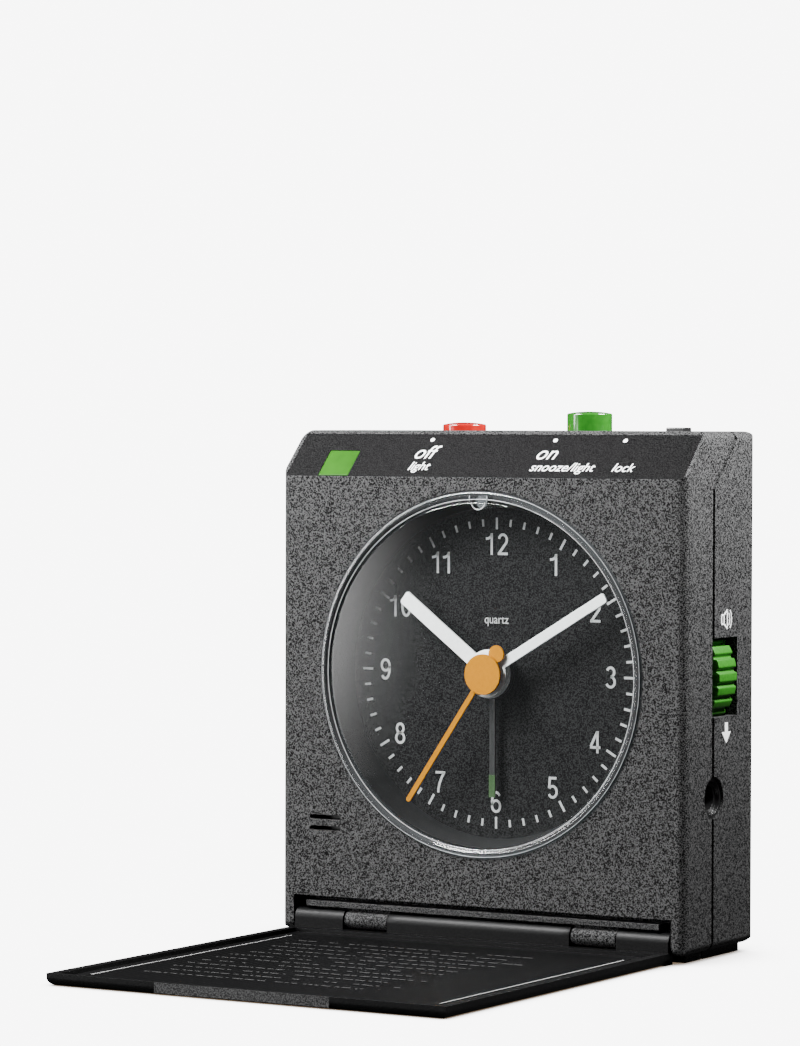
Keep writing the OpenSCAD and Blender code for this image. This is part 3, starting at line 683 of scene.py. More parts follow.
def tidy_mesh(mesh: bpy.types.Mesh, flat_angle: float = 0.0) -> None:
    """Merges doubled points, joins faces that lie in one plane, and turns faces outwards.

    Args:
        mesh: The mesh to work on.
        flat_angle: Largest angle between faces that are joined, or 0 to join none.
    """
    work = bmesh.new()
    work.from_mesh(mesh)
    bmesh.ops.remove_doubles(work, verts=work.verts, dist=2e-7)
    bmesh.ops.dissolve_degenerate(work, edges=work.edges, dist=1e-8)
    if flat_angle:
        bmesh.ops.dissolve_limit(work, angle_limit=flat_angle, verts=work.verts, edges=work.edges)
    bmesh.ops.recalc_face_normals(work, faces=work.faces)
    work.to_mesh(mesh)
    work.free()


def soften(node: str, dress: Dress, width: float) -> bpy.types.Object:
    """Copies a CAD piece and rounds its sharp edges.

    Args:
        node: Name of the CAD node.
        dress: Its finish, slot and body.
        width: Width of the rounding.

    Returns:
        The piece that stands for the node.
    """
    mesh = bpy.data.objects[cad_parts[node].name].data.copy()
    mesh.materials.clear()
    tidy_mesh(mesh, math.radians(FLAT_DEGREES))
    mesh.polygons.foreach_set("use_smooth", np.ones(len(mesh.polygons), bool))
    piece = dress.put_on(node + "_soft", mesh)
    bevel = piece.modifiers.new("edges", "BEVEL")
    bevel.width = width
    bevel.segments = 2
    bevel.limit_method = "ANGLE"
    bevel.angle_limit = math.radians(SHARP_DEGREES)
    bevel.use_clamp_overlap = True
    weigh = piece.modifiers.new("shading", "WEIGHTED_NORMAL")
    weigh.weight = 100
    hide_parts(node)
    return piece


def paint(finish: AnyFinish, *nodes: str) -> None:
    """Gives CAD nodes a finish.

    Args:
        finish: The finish.
        nodes: Names of the nodes.
    """
    for node in nodes:
        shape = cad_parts[node].data
        shape.materials.clear()
        shape.materials.append(finish.material())
        log.info("painted %s", node)


def middle(node: str) -> np.ndarray:
    """Middle of a CAD node's box."""
    low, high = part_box(node)
    return (np.array(low) + np.array(high)) / 2


def round_size(node: str) -> tuple[float, float]:
    """Radius and depth of a CAD node that is round about Y."""
    low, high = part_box(node)
    return (high[0] - low[0]) / 2, high[1] - low[1]


class Lettering:
    """Words as thin closed meshes in the built-in typeface."""

    cap: float = 0.0

    @staticmethod
    def raw(word: str, shear: float) -> Shape:
        """Outline of a word at size 1, a tenth thick.

        Args:
            word: The word.
            shear: Slant of the letters.

        Returns:
            The word's shape.
        """
        curve = bpy.data.curves.new("lettering", "FONT")
        curve.body = word
        curve.shear = shear
        curve.extrude = 0.05
        curve.resolution_u = 6
        holder = bpy.data.objects.new("lettering", curve)
        bpy.context.scene.collection.objects.link(holder)
        graph = bpy.context.evaluated_depsgraph_get()
        mesh = bpy.data.meshes.new_from_object(holder.evaluated_get(graph))
        points = np.zeros(len(mesh.vertices) * 3)
        mesh.vertices.foreach_get("co", points)
        faces = [list(face.vertices) for face in mesh.polygons]
        bpy.data.objects.remove(holder)
        bpy.data.curves.remove(curve)
        bpy.data.meshes.remove(mesh)
        return points.reshape(-1, 3), faces

    @classmethod
    def word(cls, word: str, cap: float, thick: float, shear: float = 0.0, narrow: float = 1.0,
             centred: bool = True) -> Shape:
        """A word whose capitals have a given height.

        Args:
            word: The word.
            cap: Height of a capital.
            thick: Thickness, from Z 0 up.
            shear: Slant of the letters.
            narrow: Width of the letters, 1 for the typeface's own.
            centred: True to centre it on the origin, False to start it there.

        Returns:
            The word's shape.
        """
        if not cls.cap:
            letter, _ = cls.raw("H", 0.0)
            cls.cap = float(np.ptp(letter[:, 1]))
        points, faces = cls.raw(word, shear)
        low, high = points.min(axis=0), points.max(axis=0)
        points = points - ((low[0] + high[0]) / 2 if centred else low[0], 0, low[2])
        if centred:
            points -= (0, cls.cap / 2, 0)
        size = cap / cls.cap
        return points * (size * narrow, size, thick / (high[2] - low[2])), faces


class Figure:
    """Plain grotesque figures drawn as strokes, one unit tall, round a middle at X 0."""

    stroke: float = 0.115
    step: float = 0.59
    base: float = 0.058
    top: float = 0.942

    @classmethod
    def strokes(cls, digit: str) -> list[np.ndarray]:
        """Lines that make a figure.

        Args:
            digit: The figure.

        Returns:
            One array of points for each stroke.
        """
        if digit == "9":
            return [np.array([0.0, 1.0]) - path for path in cls.strokes("6")]
        base, top = cls.base, cls.top
        low, lower = (0, 0.29), (0.212, 0.236)
        belly, belly_size = (0, 0.312), (0.212, 0.256)
        drawn = {
            "0": [bow((0, 0.5), (0.212, 0.442), 90, 450, 33)],
            "1": [[(0, 0), (0, 1)],
                  [(-0.31, 0.745), (-0.19, 0.755), (-0.09, 0.8), (-0.03, 0.88), (0, 0.97)]],
            "2": [np.vstack([bow((0, 0.7), (0.208, 0.242), 168, -38), [(-0.215, base)]]),
                  [(-0.265, base), (0.258, base)]],
            "3": [bow((-0.005, 0.735), (0.185, 0.207), 158, -90),
                  bow((-0.005, 0.29), lower, 90, -158)],
            "4": [[(0.12, 0), (0.12, 1)], [(0.1, 0.97), (-0.225, 0.3)],
                  [(-0.262, 0.262), (0.268, 0.262)]],
            "5": [[(0.2, top), (-0.14, top), (-0.185, 0.47)], bow(belly, belly_size, 142, -152)],
            "6": [bow(belly, belly_size, 90, 450, 27),
                  np.vstack([bow((0.015, 0.5), (0.226, 0.442), 42, 180), [(-0.211, 0.33)]])],
            "7": [[(-0.25, top), (0.262, top)],
                  [(0.2, 0.93), (0.07, 0.7), (-0.03, 0.44), (-0.09, 0.2), (-0.11, 0)]],
            "8": [bow((0, 0.735), (0.178, 0.207), 90, 450, 25), bow(low, lower, 90, 450, 27)],
        }
        return [np.array(path, float) for path in drawn[digit]]

    @classmethod
    def number(cls, value: int, tall: float, thick: float) -> Shape:
        """A number centred on the origin.

        Args:
            value: The number.
            tall: Height of its figures.
            thick: Thickness, from Z 0 up.

        Returns:
            The number's shape.
        """
        parts = []
        for place, digit in enumerate(str(value)):
            for path in cls.strokes(digit):
                line = (path + (place * cls.step, -0.5)) * tall
                parts.append(ribbon(line, cls.stroke * tall, thick))
        points, faces = joined(parts)
        middle_x = (points[:, 0].min() + points[:, 0].max()) / 2
        return points - (middle_x, 0, 0), faces


# Sub-assemblies


@dataclass
class Case:
    """Shells, control strip, alarm window, screws and battery door."""

    print_thick: float = 0.03 * MM
    strip_thick: float = 0.5 * MM
    dot_radius: float = 0.37 * MM
    dots_x: tuple[float, ...] = (-11.3 * MM, 10.1 * MM, 21.95 * MM)
    dots_up: float = 7.85 * MM
    big_cap: float = 2.7 * MM
    small_cap: float = 1.7 * MM
    big_up: float = 3.85 * MM
    small_up: float = 1.4 * MM
    slant: float = 0.28
    icon_line: float = 0.28 * MM
    wave_line: float = 0.2 * MM
    icon_shift: float = 0.9 * MM
    speaker_up: float = 8.6 * MM
    arrow_down: float = 8.3 * MM
    screw_radius: float = 1.9 * MM
    screw_points: int = 72

    def on_slope(self, shape: Shape, x: float, up: float) -> Shape:
        """Puts a drawing on the control strip.

        Args:
            shape: The drawing.
            x: Place across the case.
            up: Distance up the slope from the strip's lower edge.

        Returns:
            The drawing in the object's frame.
        """
        low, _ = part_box("control_strip")
        foot_z = low[2] + self.strip_thick * INV_ROOT2
        return facing(shape, Side.SLOPE, (x, low[1] + up * INV_ROOT2, foot_z + up * INV_ROOT2))

    def build_shells(self) -> None:
        """Softens the shells' edges and finishes the pieces that close the case."""
        soften("front_shell", Dress(CASE_FRONT, "case_front", "case"), 0.22 * MM)
        soften("rear_shell", Dress(CASE_REAR, "case_rear", "case"), 0.22 * MM)
        soften("control_strip", Dress(STRIP, "strip", "case"), 0.06 * MM)
        soften("alarm_window", Dress(WINDOW_GREEN, "window_green", "case"), 0.12 * MM)
        soften("battery_door", Dress(CASE_REAR, "case_rear", "door"), 0.15 * MM)
        soften("jack_socket", Dress(BLACK, "black_plastic", "case"), 0.2 * MM)

    def build_print(self) -> None:
        """Prints the dots and words on the strip."""
        dot = slab(arc(self.dot_radius, 0, 345, 24), self.print_thick)
        parts = [self.on_slope(dot, x, self.dots_up) for x in self.dots_x]
        words = (
            ("off", self.big_cap, -13.0 * MM, self.big_up, 0.84),
            ("light", self.small_cap, -13.05 * MM, self.small_up, 0.84),
            ("on", self.big_cap, 8.2 * MM, self.big_up, 0.86),
            ("snooze/light", self.small_cap, 8.05 * MM, self.small_up, 0.89),
            ("lock", self.small_cap, 21.95 * MM, self.small_up, 0.85),
        )
        for word, cap, x, up, narrow in words:
            letters = Lettering.word(word, cap, self.print_thick, self.slant, narrow, False)
            parts.append(self.on_slope(letters, x, up))
        add_piece("strip_print", joined(parts), Dress(PRINT_WHITE, "hand_white", "case"), False)

    def build_icons(self) -> None:
        """Prints the loudspeaker and the arrow beside the volume wheel."""
        wheel = middle("volume_wheel")
        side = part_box("rear_shell")[1][0]
        shift = wheel[1] + self.icon_shift
        box = [[-1.75, -0.65], [-0.9, -0.65], [0.2, -1.4], [0.2, 1.4], [-0.9, 0.65], [-1.75, 0.65]]
        starts = np.array([*box, [-0.9, -0.65]]) * MM
        ends = np.array([*box[1:], box[0], [-0.9, 0.65]]) * MM
        loud = [bars(starts, ends, np.full(len(starts), self.icon_line), self.print_thick)]
        for radius in (1.35 * MM, 1.95 * MM):
            wave = arc(radius, -42, 42, 13) + (-0.35 * MM, 0)
            loud.append(ribbon(wave, self.wave_line, self.print_thick))
        arrow = [[0, -1.6], [1.5, 0.1], [0.5, 0.1], [0.5, 1.5], [-0.5, 1.5], [-0.5, 0.1], [-1.5, 0.1]]
        down = slab(np.array(arrow) * MM, self.print_thick)
        icons = joined([
            facing(joined(loud), Side.RIGHT, (side, shift, wheel[2] + self.speaker_up)),
            facing(down, Side.RIGHT, (side, shift, wheel[2] - self.arrow_down)),
        ])
        add_piece("side_print", icons, Dress(PRINT_WHITE, "hand_white", "case"), False)

    def build_screws(self) -> None:
        """Turns cross-headed screws for the four posts of the back.

        The head is a shallow dome. Where a point lies on either arm of the cross,
        it is sunk by the cross's depth.
        """
        low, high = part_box("case_screws")
        radius, n = self.screw_radius, self.screw_points
        r = np.linspace(0, 1, 15)[:, None]
        a = np.linspace(0, 2 * math.pi, n, endpoint=False)[None, :]
        x, y = r * np.cos(a), r * np.sin(a)
        arm = np.minimum(np.abs(x), np.abs(y))
        cross = (arm < 0.14) & (np.hypot(x, y) < 0.66)
        height = 0.25 * MM * (1 - r**2) - 0.55 * MM * cross - 0.25 * MM
        dome = np.stack([radius * x, radius * y, height + 0 * x], axis=-1).reshape(-1, 3)
        foot = dome[-n:] - (0, 0, 0.9 * MM)
        base = np.array([[0, 0, -1.15 * MM]] * n)
        screw = np.vstack([dome, foot, base]), grid_faces(len(r) + 2, n, True)
        heads = [facing(screw, Side.BACK, (x, high[1], z))
                 for x in (low[0] + radius, high[0] - radius)
                 for z in (low[2] + radius, high[2] - radius)]
        add_piece("screw_heads", joined(heads), Dress(STEEL, "steel", "case"))

    def build(self) -> None:
        """Builds and dresses the whole case."""
        self.build_shells()
        self.build_print()
        self.build_icons()
        self.build_screws()
        paint(STEEL, "case_screws", "battery_spring", "battery_contact", "rocker_pin", "hinge_pins")


@dataclass
class Dial:
    """Printed dial, its wall, ring, crystal and lamp."""

    thick: float = 0.02 * MM
    hour_radii: tuple[float, float] = (21.85 * MM, 23.64 * MM)
    minute_radii: tuple[float, float] = (22.35 * MM, 23.45 * MM)
    tick_width: float = 0.36 * MM
    figure_radius: float = 19.6 * MM
    figure_cap: float = 3.28 * MM
    side_drop: float = 0.35 * MM
    word_cap: float = 1.3 * MM
    word_up: float = 8.2 * MM
    ring_width: float = 1.45 * MM
    bead_drop: float = 0.28 * MM
    # Painted highlight beads: their half width, and each one's inset from the ring's edge and depth.
    glint: float = 0.075 * MM
    glints: tuple[tuple[float, float], ...] = ((0.28 * MM, 0.12 * MM), (1.3 * MM, 0.3 * MM))
    # Painted highlight lines round the lamp niche: their width and inset.
    niche_line: float = 0.17 * MM
    niche_inset: float = 1.75 * MM
    crystal_edge: float = 0.3 * MM
    around: int = 192
    centre: np.ndarray = field(default_factory=lambda: np.zeros(3))

    def build_ticks(self) -> None:
        """Prints a tick for each minute, longer at each hour."""
        minute = np.arange(60)
        a = np.radians(90 - 6 * minute)
        way = np.column_stack([np.cos(a), np.sin(a)])
        inner, outer = (
            np.where(minute % 5 == 0, at_hour, at_minute)[:, None] * way
            for at_hour, at_minute in zip(self.hour_radii, self.minute_radii)
        )
        ticks = bars(inner, outer, np.full(60, self.tick_width), self.thick)
        add_piece("dial_ticks", facing(ticks, Side.FRONT, self.centre),
                  Dress(PRINT_GREY, "hand_white", "case"), False)

    def build_figures(self) -> None:
        """Prints the hours upright round the dial, and the kind of movement."""
        parts = []
        for hour in range(1, 13):
            a = math.radians(90 - 30 * hour)
            drop = self.side_drop if hour in (1, 11) else 0
            x, z = self.figure_radius * math.cos(a), self.figure_radius * math.sin(a) - drop
            number = Figure.number(hour, self.figure_cap, self.thick)
            parts.append(facing(number, Side.FRONT, self.centre + (x, 0, z)))
        word = Lettering.word("quartz", self.word_cap, self.thick, 0.0, 0.86)
        parts.append(facing(word, Side.FRONT, self.centre + (0, 0, self.word_up)))
        add_piece("dial_figures", joined(parts), Dress(PRINT_GREY, "hand_white", "case"), False)

    def build_ring(self) -> None:
        """Turns the clear ring round the crystal: a low crown with an inner bead."""
        outer, deep = round_size("crystal_ring")
        low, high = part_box("crystal_ring")
        inner = outer - self.ring_width
        bead = deep - self.bead_drop
        corners = [(inner, 0), (inner, bead), (inner + 0.35 * MM, bead), (inner + 0.55 * MM, deep),
                   (outer - 0.3 * MM, deep), (outer, deep - 0.45 * MM), (outer, 0), (inner, 0)]
        ring = turned(rounded_profile(corners, 0.16 * MM, 4), self.around)
        add_piece("ring_bead", facing(ring, Side.FRONT, (self.centre[0], high[1], self.centre[2])),
                  Dress(RING_CLEAR, "ring_clear", "case"), instead_of="crystal_ring")
        self.build_glints(outer, low[1])

    def build_glints(self, outer: float, front: float) -> None:
        """Adds painted highlights: pale beads on the ring that stand in for the glints of its edges,
        and pale lines that stand in for the lit outline of the lamp's niche.

        Args:
            outer: Outer radius of the ring.
            front: Y of the ring's front.
        """
        g = self.glint
        parts = []
        for inset, deep in self.glints:
            r = outer - inset
            corners = [(r - g, 0), (r, g), (r + g, 0), (r, -g), (r - g, 0)]
            edge = turned(rounded_profile(corners, g, 2), self.around)
            place = (self.centre[0], front + deep, self.centre[2])
            parts.append(facing(edge, Side.FRONT, place))
        place = (self.centre[0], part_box("crystal")[0][1], self.centre[2] + outer - self.niche_inset)
        niche = [bow((0, 0), (1.15 * MM, 1.1 * MM), 180, 360)]
        niche += [np.array([[x, 0.1], [x, 1.0]]) * MM for x in (-1.5, 1.5)]
        for path in niche:
            line = ribbon(path, self.niche_line, 0.05 * MM)
            parts.append(facing(line, Side.FRONT, place))
        # Painted highlights: pale pieces that stand in for glints.
        add_piece("ring_painted_glints", joined(parts), Dress(PAINTED_EDGE_HIGHLIGHT, "ring_clear", "case"))

    def build_crystal(self) -> None:
        """Turns the crystal with a small bevel at its edge."""
        radius, deep = round_size("crystal")
        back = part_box("crystal")[1][1]
        edge = self.crystal_edge
        corners = [(0, deep), (radius - edge, deep), (radius, deep - edge), (radius, 0), (0, 0)]
        pane = turned(rounded_profile(corners, 0.1 * MM, 3), self.around)
        add_piece("crystal_pane", facing(pane, Side.FRONT, (self.centre[0], back, self.centre[2])),
                  Dress(CRYSTAL, "crystal_clear", "case"), False, "crystal")

    def build(self) -> None:
        """Builds and dresses the dial."""
        self.centre = middle("dial_plate")
        self.centre[1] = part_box("dial_plate")[0][1]
        paint(DIAL, "dial_plate")
        paint(DIAL_WALL, "dial_wall")
        paint(LAMP_CLEAR, "dial_lamp")
        self.build_ticks()
        self.build_figures()
        self.build_ring()
        self.build_crystal()


@dataclass
class Hands:
    """The four hands, each softened at its edges, and the alarm hand's green tip."""

    edge: float = 0.07 * MM
    thin_edge: float = 0.05 * MM
    tip_length: float = 3.4 * MM
    tip_width: float = 1.06 * MM
    tip_thick: float = 0.05 * MM
    hub_rise: float = 0.3 * MM

    def build(self) -> None:
        """Builds and dresses the hands."""
        soften("second_hand", Dress(HAND_YELLOW, "hand_yellow", "seconds"), self.edge)
        soften("minute_hand", Dress(HAND_WHITE, "hand_white", "minutes"), self.edge)
        soften("hour_hand", Dress(HAND_WHITE, "hand_white", "hours"), self.edge)
        soften("alarm_hand", Dress(HAND_BLACK, "hand_black", "alarm"), self.thin_edge)
        low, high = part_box("alarm_hand")
        centre = middle("dial_plate")
        end = np.array([[0.0, low[2] - centre[2]]])
        tip = bars(end, end + (0, self.tip_length), np.array([self.tip_width]), self.tip_thick)
        place = (centre[0], high[1] - self.hub_rise, centre[2])
        add_piece("alarm_tip", facing(tip, Side.FRONT, place),
                  Dress(HAND_GREEN, "button_green", "alarm"), False)


@dataclass
class Controls:
    """Buttons, lock slider, volume wheel and the knobs on the back."""

    dome: float = 0.32 * MM
    round_edge: float = 0.45 * MM
    cap_height: float = 5.45 * MM
    tab: tuple[float, float] = (9.2 * MM, 5.0 * MM)
    tab_thick: float = 0.8 * MM
    stem_radius: float = 2.0 * MM
    ribs: int = 26
    per_rib: int = 20
    valley: float = 0.55 * MM
    steepness: float = 3.2
    land: float = 0.6
    wheel_bore: float = 1.55 * MM
    wheel_edge: float = 0.12 * MM
    flutes: int = 24
    mark_line: float = 0.3 * MM
    mark_thick: float = 0.03 * MM
    pole_half: float = 1.1 * MM
    pole_shift: float = 18 * MM

    def button(self, node: str, radius: float, dress: Dress) -> None:
        """Turns a domed button on its stem, with the two tabs that keep it in.

        The top is a shallow parabola, which meets the side in a rounded edge.

        Args:
            node: The CAD node that it stands for.
            radius: Radius of the button.
            dress: Its finish, slot and body.
        """
        low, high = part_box(node)
        top = high[2] - low[2]
        tabs = top - self.cap_height
        r = np.linspace(0, radius - self.round_edge, 14)
        crown = np.column_stack([r, top - self.dome * (r / radius) ** 2])
        corners = [tuple(crown[-1]), (radius, top - self.dome), (radius, tabs),
                   (self.stem_radius, tabs), (self.stem_radius, 0), (0, 0)]
        cap = turned(np.vstack([crown[:-1], rounded_profile(corners, self.round_edge, 6)]), 96)
        w, d = self.tab[0] / 2, self.tab[1] / 2
        plate, plate_faces = slab(np.array([[-w, -d], [w, -d], [w, d], [-w, d]]), self.tab_thick)
        whole = joined([cap, (plate + (0, 0, tabs), plate_faces)])
        centre = middle(node)
        add_piece(node + "_cap", facing(whole, Side.UP, (centre[0], centre[1], low[2])), dress,
                  instead_of=node)

    def build_wheel(self) -> None:
        """Turns the ribbed volume wheel.

        Round the wheel the radius is high on each rib and dips between ribs, with
        steep flanks. At both ends the edge is rounded.
        """
        radius, deep = round_size("volume_wheel")
        around = self.ribs * self.per_rib
        a = np.arange(around) * 2 * math.pi / around
        flank = np.tanh(self.steepness * (np.cos(a * self.ribs) + self.land))
        rise = 0.5 + 0.5 * flank / math.tanh(self.steepness * (1 + self.land))
        t = np.linspace(0, math.pi / 2, 5)
        going, coming = self.wheel_edge * (1 - np.sin(t)), self.wheel_edge * (1 - np.cos(t))
        outer = radius - self.valley * (1 - rise)[None, :] - np.concatenate([going, coming])[:, None]
        bore = np.full((1, around), self.wheel_bore)
        rows = np.vstack([bore, outer, bore, bore])
        depth = np.concatenate([[0], coming, deep - going, [deep], [0]])[:, None] + 0 * a[None, :]
        points = np.stack([rows * np.cos(a), rows * np.sin(a), depth], axis=-1).reshape(-1, 3)
        centre = middle("volume_wheel")
        place = (centre[0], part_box("volume_wheel")[1][1], centre[2])
        wheel = facing((points, grid_faces(len(rows), around, True)), Side.FRONT, place)
        add_piece("volume_wheel_ribbed", wheel, Dress(WHEEL_GREEN, "wheel_green", "volume"),
                  instead_of="volume_wheel")

    def build_knob(self, node: str, body: str) -> None:
        """Turns a fluted setting knob with a dished face and a raised rim.

        Args:
            node: The CAD node that it stands for.
            body: The body that it rides on.
        """
        radius, deep = round_size(node)
        dish = deep - 0.5 * MM
        corners = [(0, dish), (radius - 1.5 * MM, dish), (radius - 1.2 * MM, deep), (radius, deep),
                   (radius, 0.5 * MM), (radius - 0.3 * MM, 0), (0, 0)]
        knob = turned(rounded_profile(corners, 0.3 * MM, 4), self.flutes * 12, self.flutes,
                      0.32 * MM, (0.6 * MM, deep))
        centre = middle(node)
        place = (centre[0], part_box(node)[0][1], centre[2])
        add_piece(node + "_fluted", facing(knob, Side.BACK, place),
                  Dress(BLACK, "black_plastic", body), instead_of=node)

    def build_marks(self) -> None:
        """Prints turning arrows round the knobs and the poles on the battery door."""
        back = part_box("rear_shell")[1][1]
        thick = self.mark_thick
        turn = arc(7.4 * MM, 40, 140, 25)
        head = np.array([[-0.75, 0.0], [0.15, -0.85], [0.65, 0.5]]) * MM + turn[-1]
        arrow = joined([ribbon(turn, self.mark_line, thick),
                        slab(head + (-0.2 * MM, -0.5 * MM), thick)])
        for node in ("time_knob", "alarm_knob"):
            centre = middle(node)
            add_piece(node + "_arrow", facing(arrow, Side.BACK, (centre[0], back, centre[2])),
                      Dress(PRINT_GREY, "hand_white", "case"), False)
        door = middle("battery_door")
        half = self.pole_half
        starts = np.array([[-half, 0], [0, -half], [-half, 0]])
        starts[:, 0] += (-self.pole_shift, -self.pole_shift, self.pole_shift)
        ends = starts + ((2 * half, 0), (0, 2 * half), (2 * half, 0))
        poles = bars(starts, ends, np.full(3, self.mark_line), thick)
        add_piece("battery_marks", facing(poles, Side.BACK, (door[0], back, door[2])),
                  Dress(PRINT_GREY, "hand_white", "door"), False)

    def build(self) -> None:
        """Builds and dresses the controls."""
        self.button("off_button", 3.35 * MM, Dress(RED, "button_red", "red_button"))
        self.button("on_button", 3.45 * MM, Dress(GREEN, "button_green", "green_button"))
        soften("lock_slider", Dress(BLACK, "black_plastic", "lock"), 0.18 * MM)
        self.build_wheel()
        self.build_knob("time_knob", "time_setting")
        self.build_knob("alarm_knob", "alarm_setting")
        self.build_marks()
        paint(CREAM, "button_rocker")
        paint(BLACK, "volume_pot")


@dataclass
class Cover:
    """The fold-down cover, its printed card and the hinge."""

    edge: float = 0.12 * MM
    line_width: float = 0.16 * MM
    dash_width: float = 0.32 * MM
    print_thick: float = 0.02 * MM
    tab_half: float = 14.3 * MM
    dash_rows: int = 12
    dashes: int = 26
    kept: float = 0.86
    seed: int = 5

    def mark_tab(self, mesh: bpy.types.Mesh) -> None:
        """Cuts the far edge at the ends of the finger tab and gives the tab's face a grained finish
        lighter than the cover's; the grain is the moulding's texture, the lighter tone is painted
        light for the lit, proud tab face.

        Args:
            mesh: The cover's mesh.
        """
        work = bmesh.new()
        work.from_mesh(mesh)
        for x in (-self.tab_half, self.tab_half):
            everything = work.verts[:] + work.edges[:] + work.faces[:]
            bmesh.ops.bisect_plane(work, geom=everything, plane_co=(x, 0, 0), plane_no=(1, 0, 0))
        work.to_mesh(mesh)
        work.free()
        mesh.materials.append(LID_TAB_PAINTED_LIGHT.material())
        centre = np.zeros((len(mesh.polygons), 3))
        normal = np.zeros((len(mesh.polygons), 3))
        mesh.polygons.foreach_get("center", centre.ravel())
        mesh.polygons.foreach_get("normal", normal.ravel())
        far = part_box("lid")[0][1] + 0.1 * MM
        within = (np.abs(centre[:, 0]) < self.tab_half) & (centre[:, 1] < far)
        # Painted light: the tab's forward-facing faces take the lighter finish.
        tab = (normal[:, 1] < -0.9) & within
        mesh.polygons.foreach_set("material_index", tab.astype(np.int32))

    def build_card(self) -> None:
        """Prints a border line on each side of the card and rows of tiny dashes.

        Row starts are even; a dash's length and the gap after it are drawn from a
        seeded generator, and cumulative sums place them along the row.
        """
        low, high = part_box("lid_label")
        origin = (0, 0, high[2])
        starts = np.array([[x, low[1] + 2 * MM] for x in (low[0] + 0.2 * MM, high[0] - 0.2 * MM)])
        ends = starts + (0, high[1] - low[1] - 4 * MM)
        border = bars(starts, ends, np.full(2, self.line_width), self.print_thick)
        add_piece("card_border", facing(border, Side.UP, origin),
                  Dress(PRINT_GREY, "label_black", "cover"), False)
        draw = np.random.default_rng(self.seed)
        length = draw.uniform(0.35, 1.7, (self.dash_rows, self.dashes)) * MM
        gap = draw.uniform(0.3, 0.75, (self.dash_rows, self.dashes)) * MM
        start = low[0] + 4.5 * MM + np.cumsum(length + gap, axis=1) - length - gap
        row_y = np.linspace(high[1] - 7 * MM, low[1] + 9 * MM, self.dash_rows)[:, None] + 0 * start
        chosen = draw.uniform(0, 1, start.shape) < self.kept
        keep = (start + length < high[0] - 5 * MM) & chosen
        a = np.stack([start, row_y], axis=-1)[keep]
        b = np.stack([start + length, row_y], axis=-1)[keep]
        dashes = bars(a, b, np.full(len(a), self.dash_width), self.print_thick)
        add_piece("card_dashes", facing(dashes, Side.UP, origin),
                  Dress(PRINT_DIM, "label_black", "cover"), False)

    def build(self) -> None:
        """Builds and dresses the cover and its hinge."""
        lid = soften("lid", Dress(LID_SHELL, "case_front", "cover"), self.edge)
        self.mark_tab(lid.data)
        soften("hinge_bracket", Dress(CASE_FRONT, "black_plastic", "case"), 0.1 * MM)
        paint(LABEL, "lid_label")
        self.build_card()


@dataclass
class Movement:
    """The works inside, which show only when the case is open."""

    def build(self) -> None:
        """Finishes every inner piece."""
        paint(CREAM, "movement_base", "movement_cover")
        paint(STEEL, "stator", "quartz_can", "movement_screws")
        paint(COPPER, "coil")
        paint(BOARD, "circuit_board")
        paint(CELL, "battery")
        paint(BLACK, "ic_chip", "speaker", "alarm_switch", "light_switch")
        paint(GEAR, "seconds_wheel", "centre_wheel", "hour_wheel", "alarm_wheel", "third_wheel",
              "fifth_wheel", "motion_wheel", "time_stem", "alarm_stem", "rotor")


@dataclass(frozen=True)
class Softbox:
    """A rectangular soft light that points at a place.

    Attributes:
        name: Name of the light.
        place: Where it hangs.
        aim: What it points at.
        size: Its width and height.
        power: Its power in watts.
    """

    name: str
    place: tuple[float, float, float]
    aim: tuple[float, float, float]
    size: tuple[float, float]
    power: float

    def hang(self) -> None:
        """Adds the light to the scene."""
        data = bpy.data.lights.new(self.name, "AREA")
        data.shape = "RECTANGLE"
        data.size, data.size_y = self.size
        data.energy = self.power
        light = bpy.data.objects.new(self.name, data)
        bpy.context.scene.collection.objects.link(light)
        light.location = self.place
        way = Vector(self.aim) - Vector(self.place)
        light.rotation_euler = way.to_track_quat("-Z", "Y").to_euler()


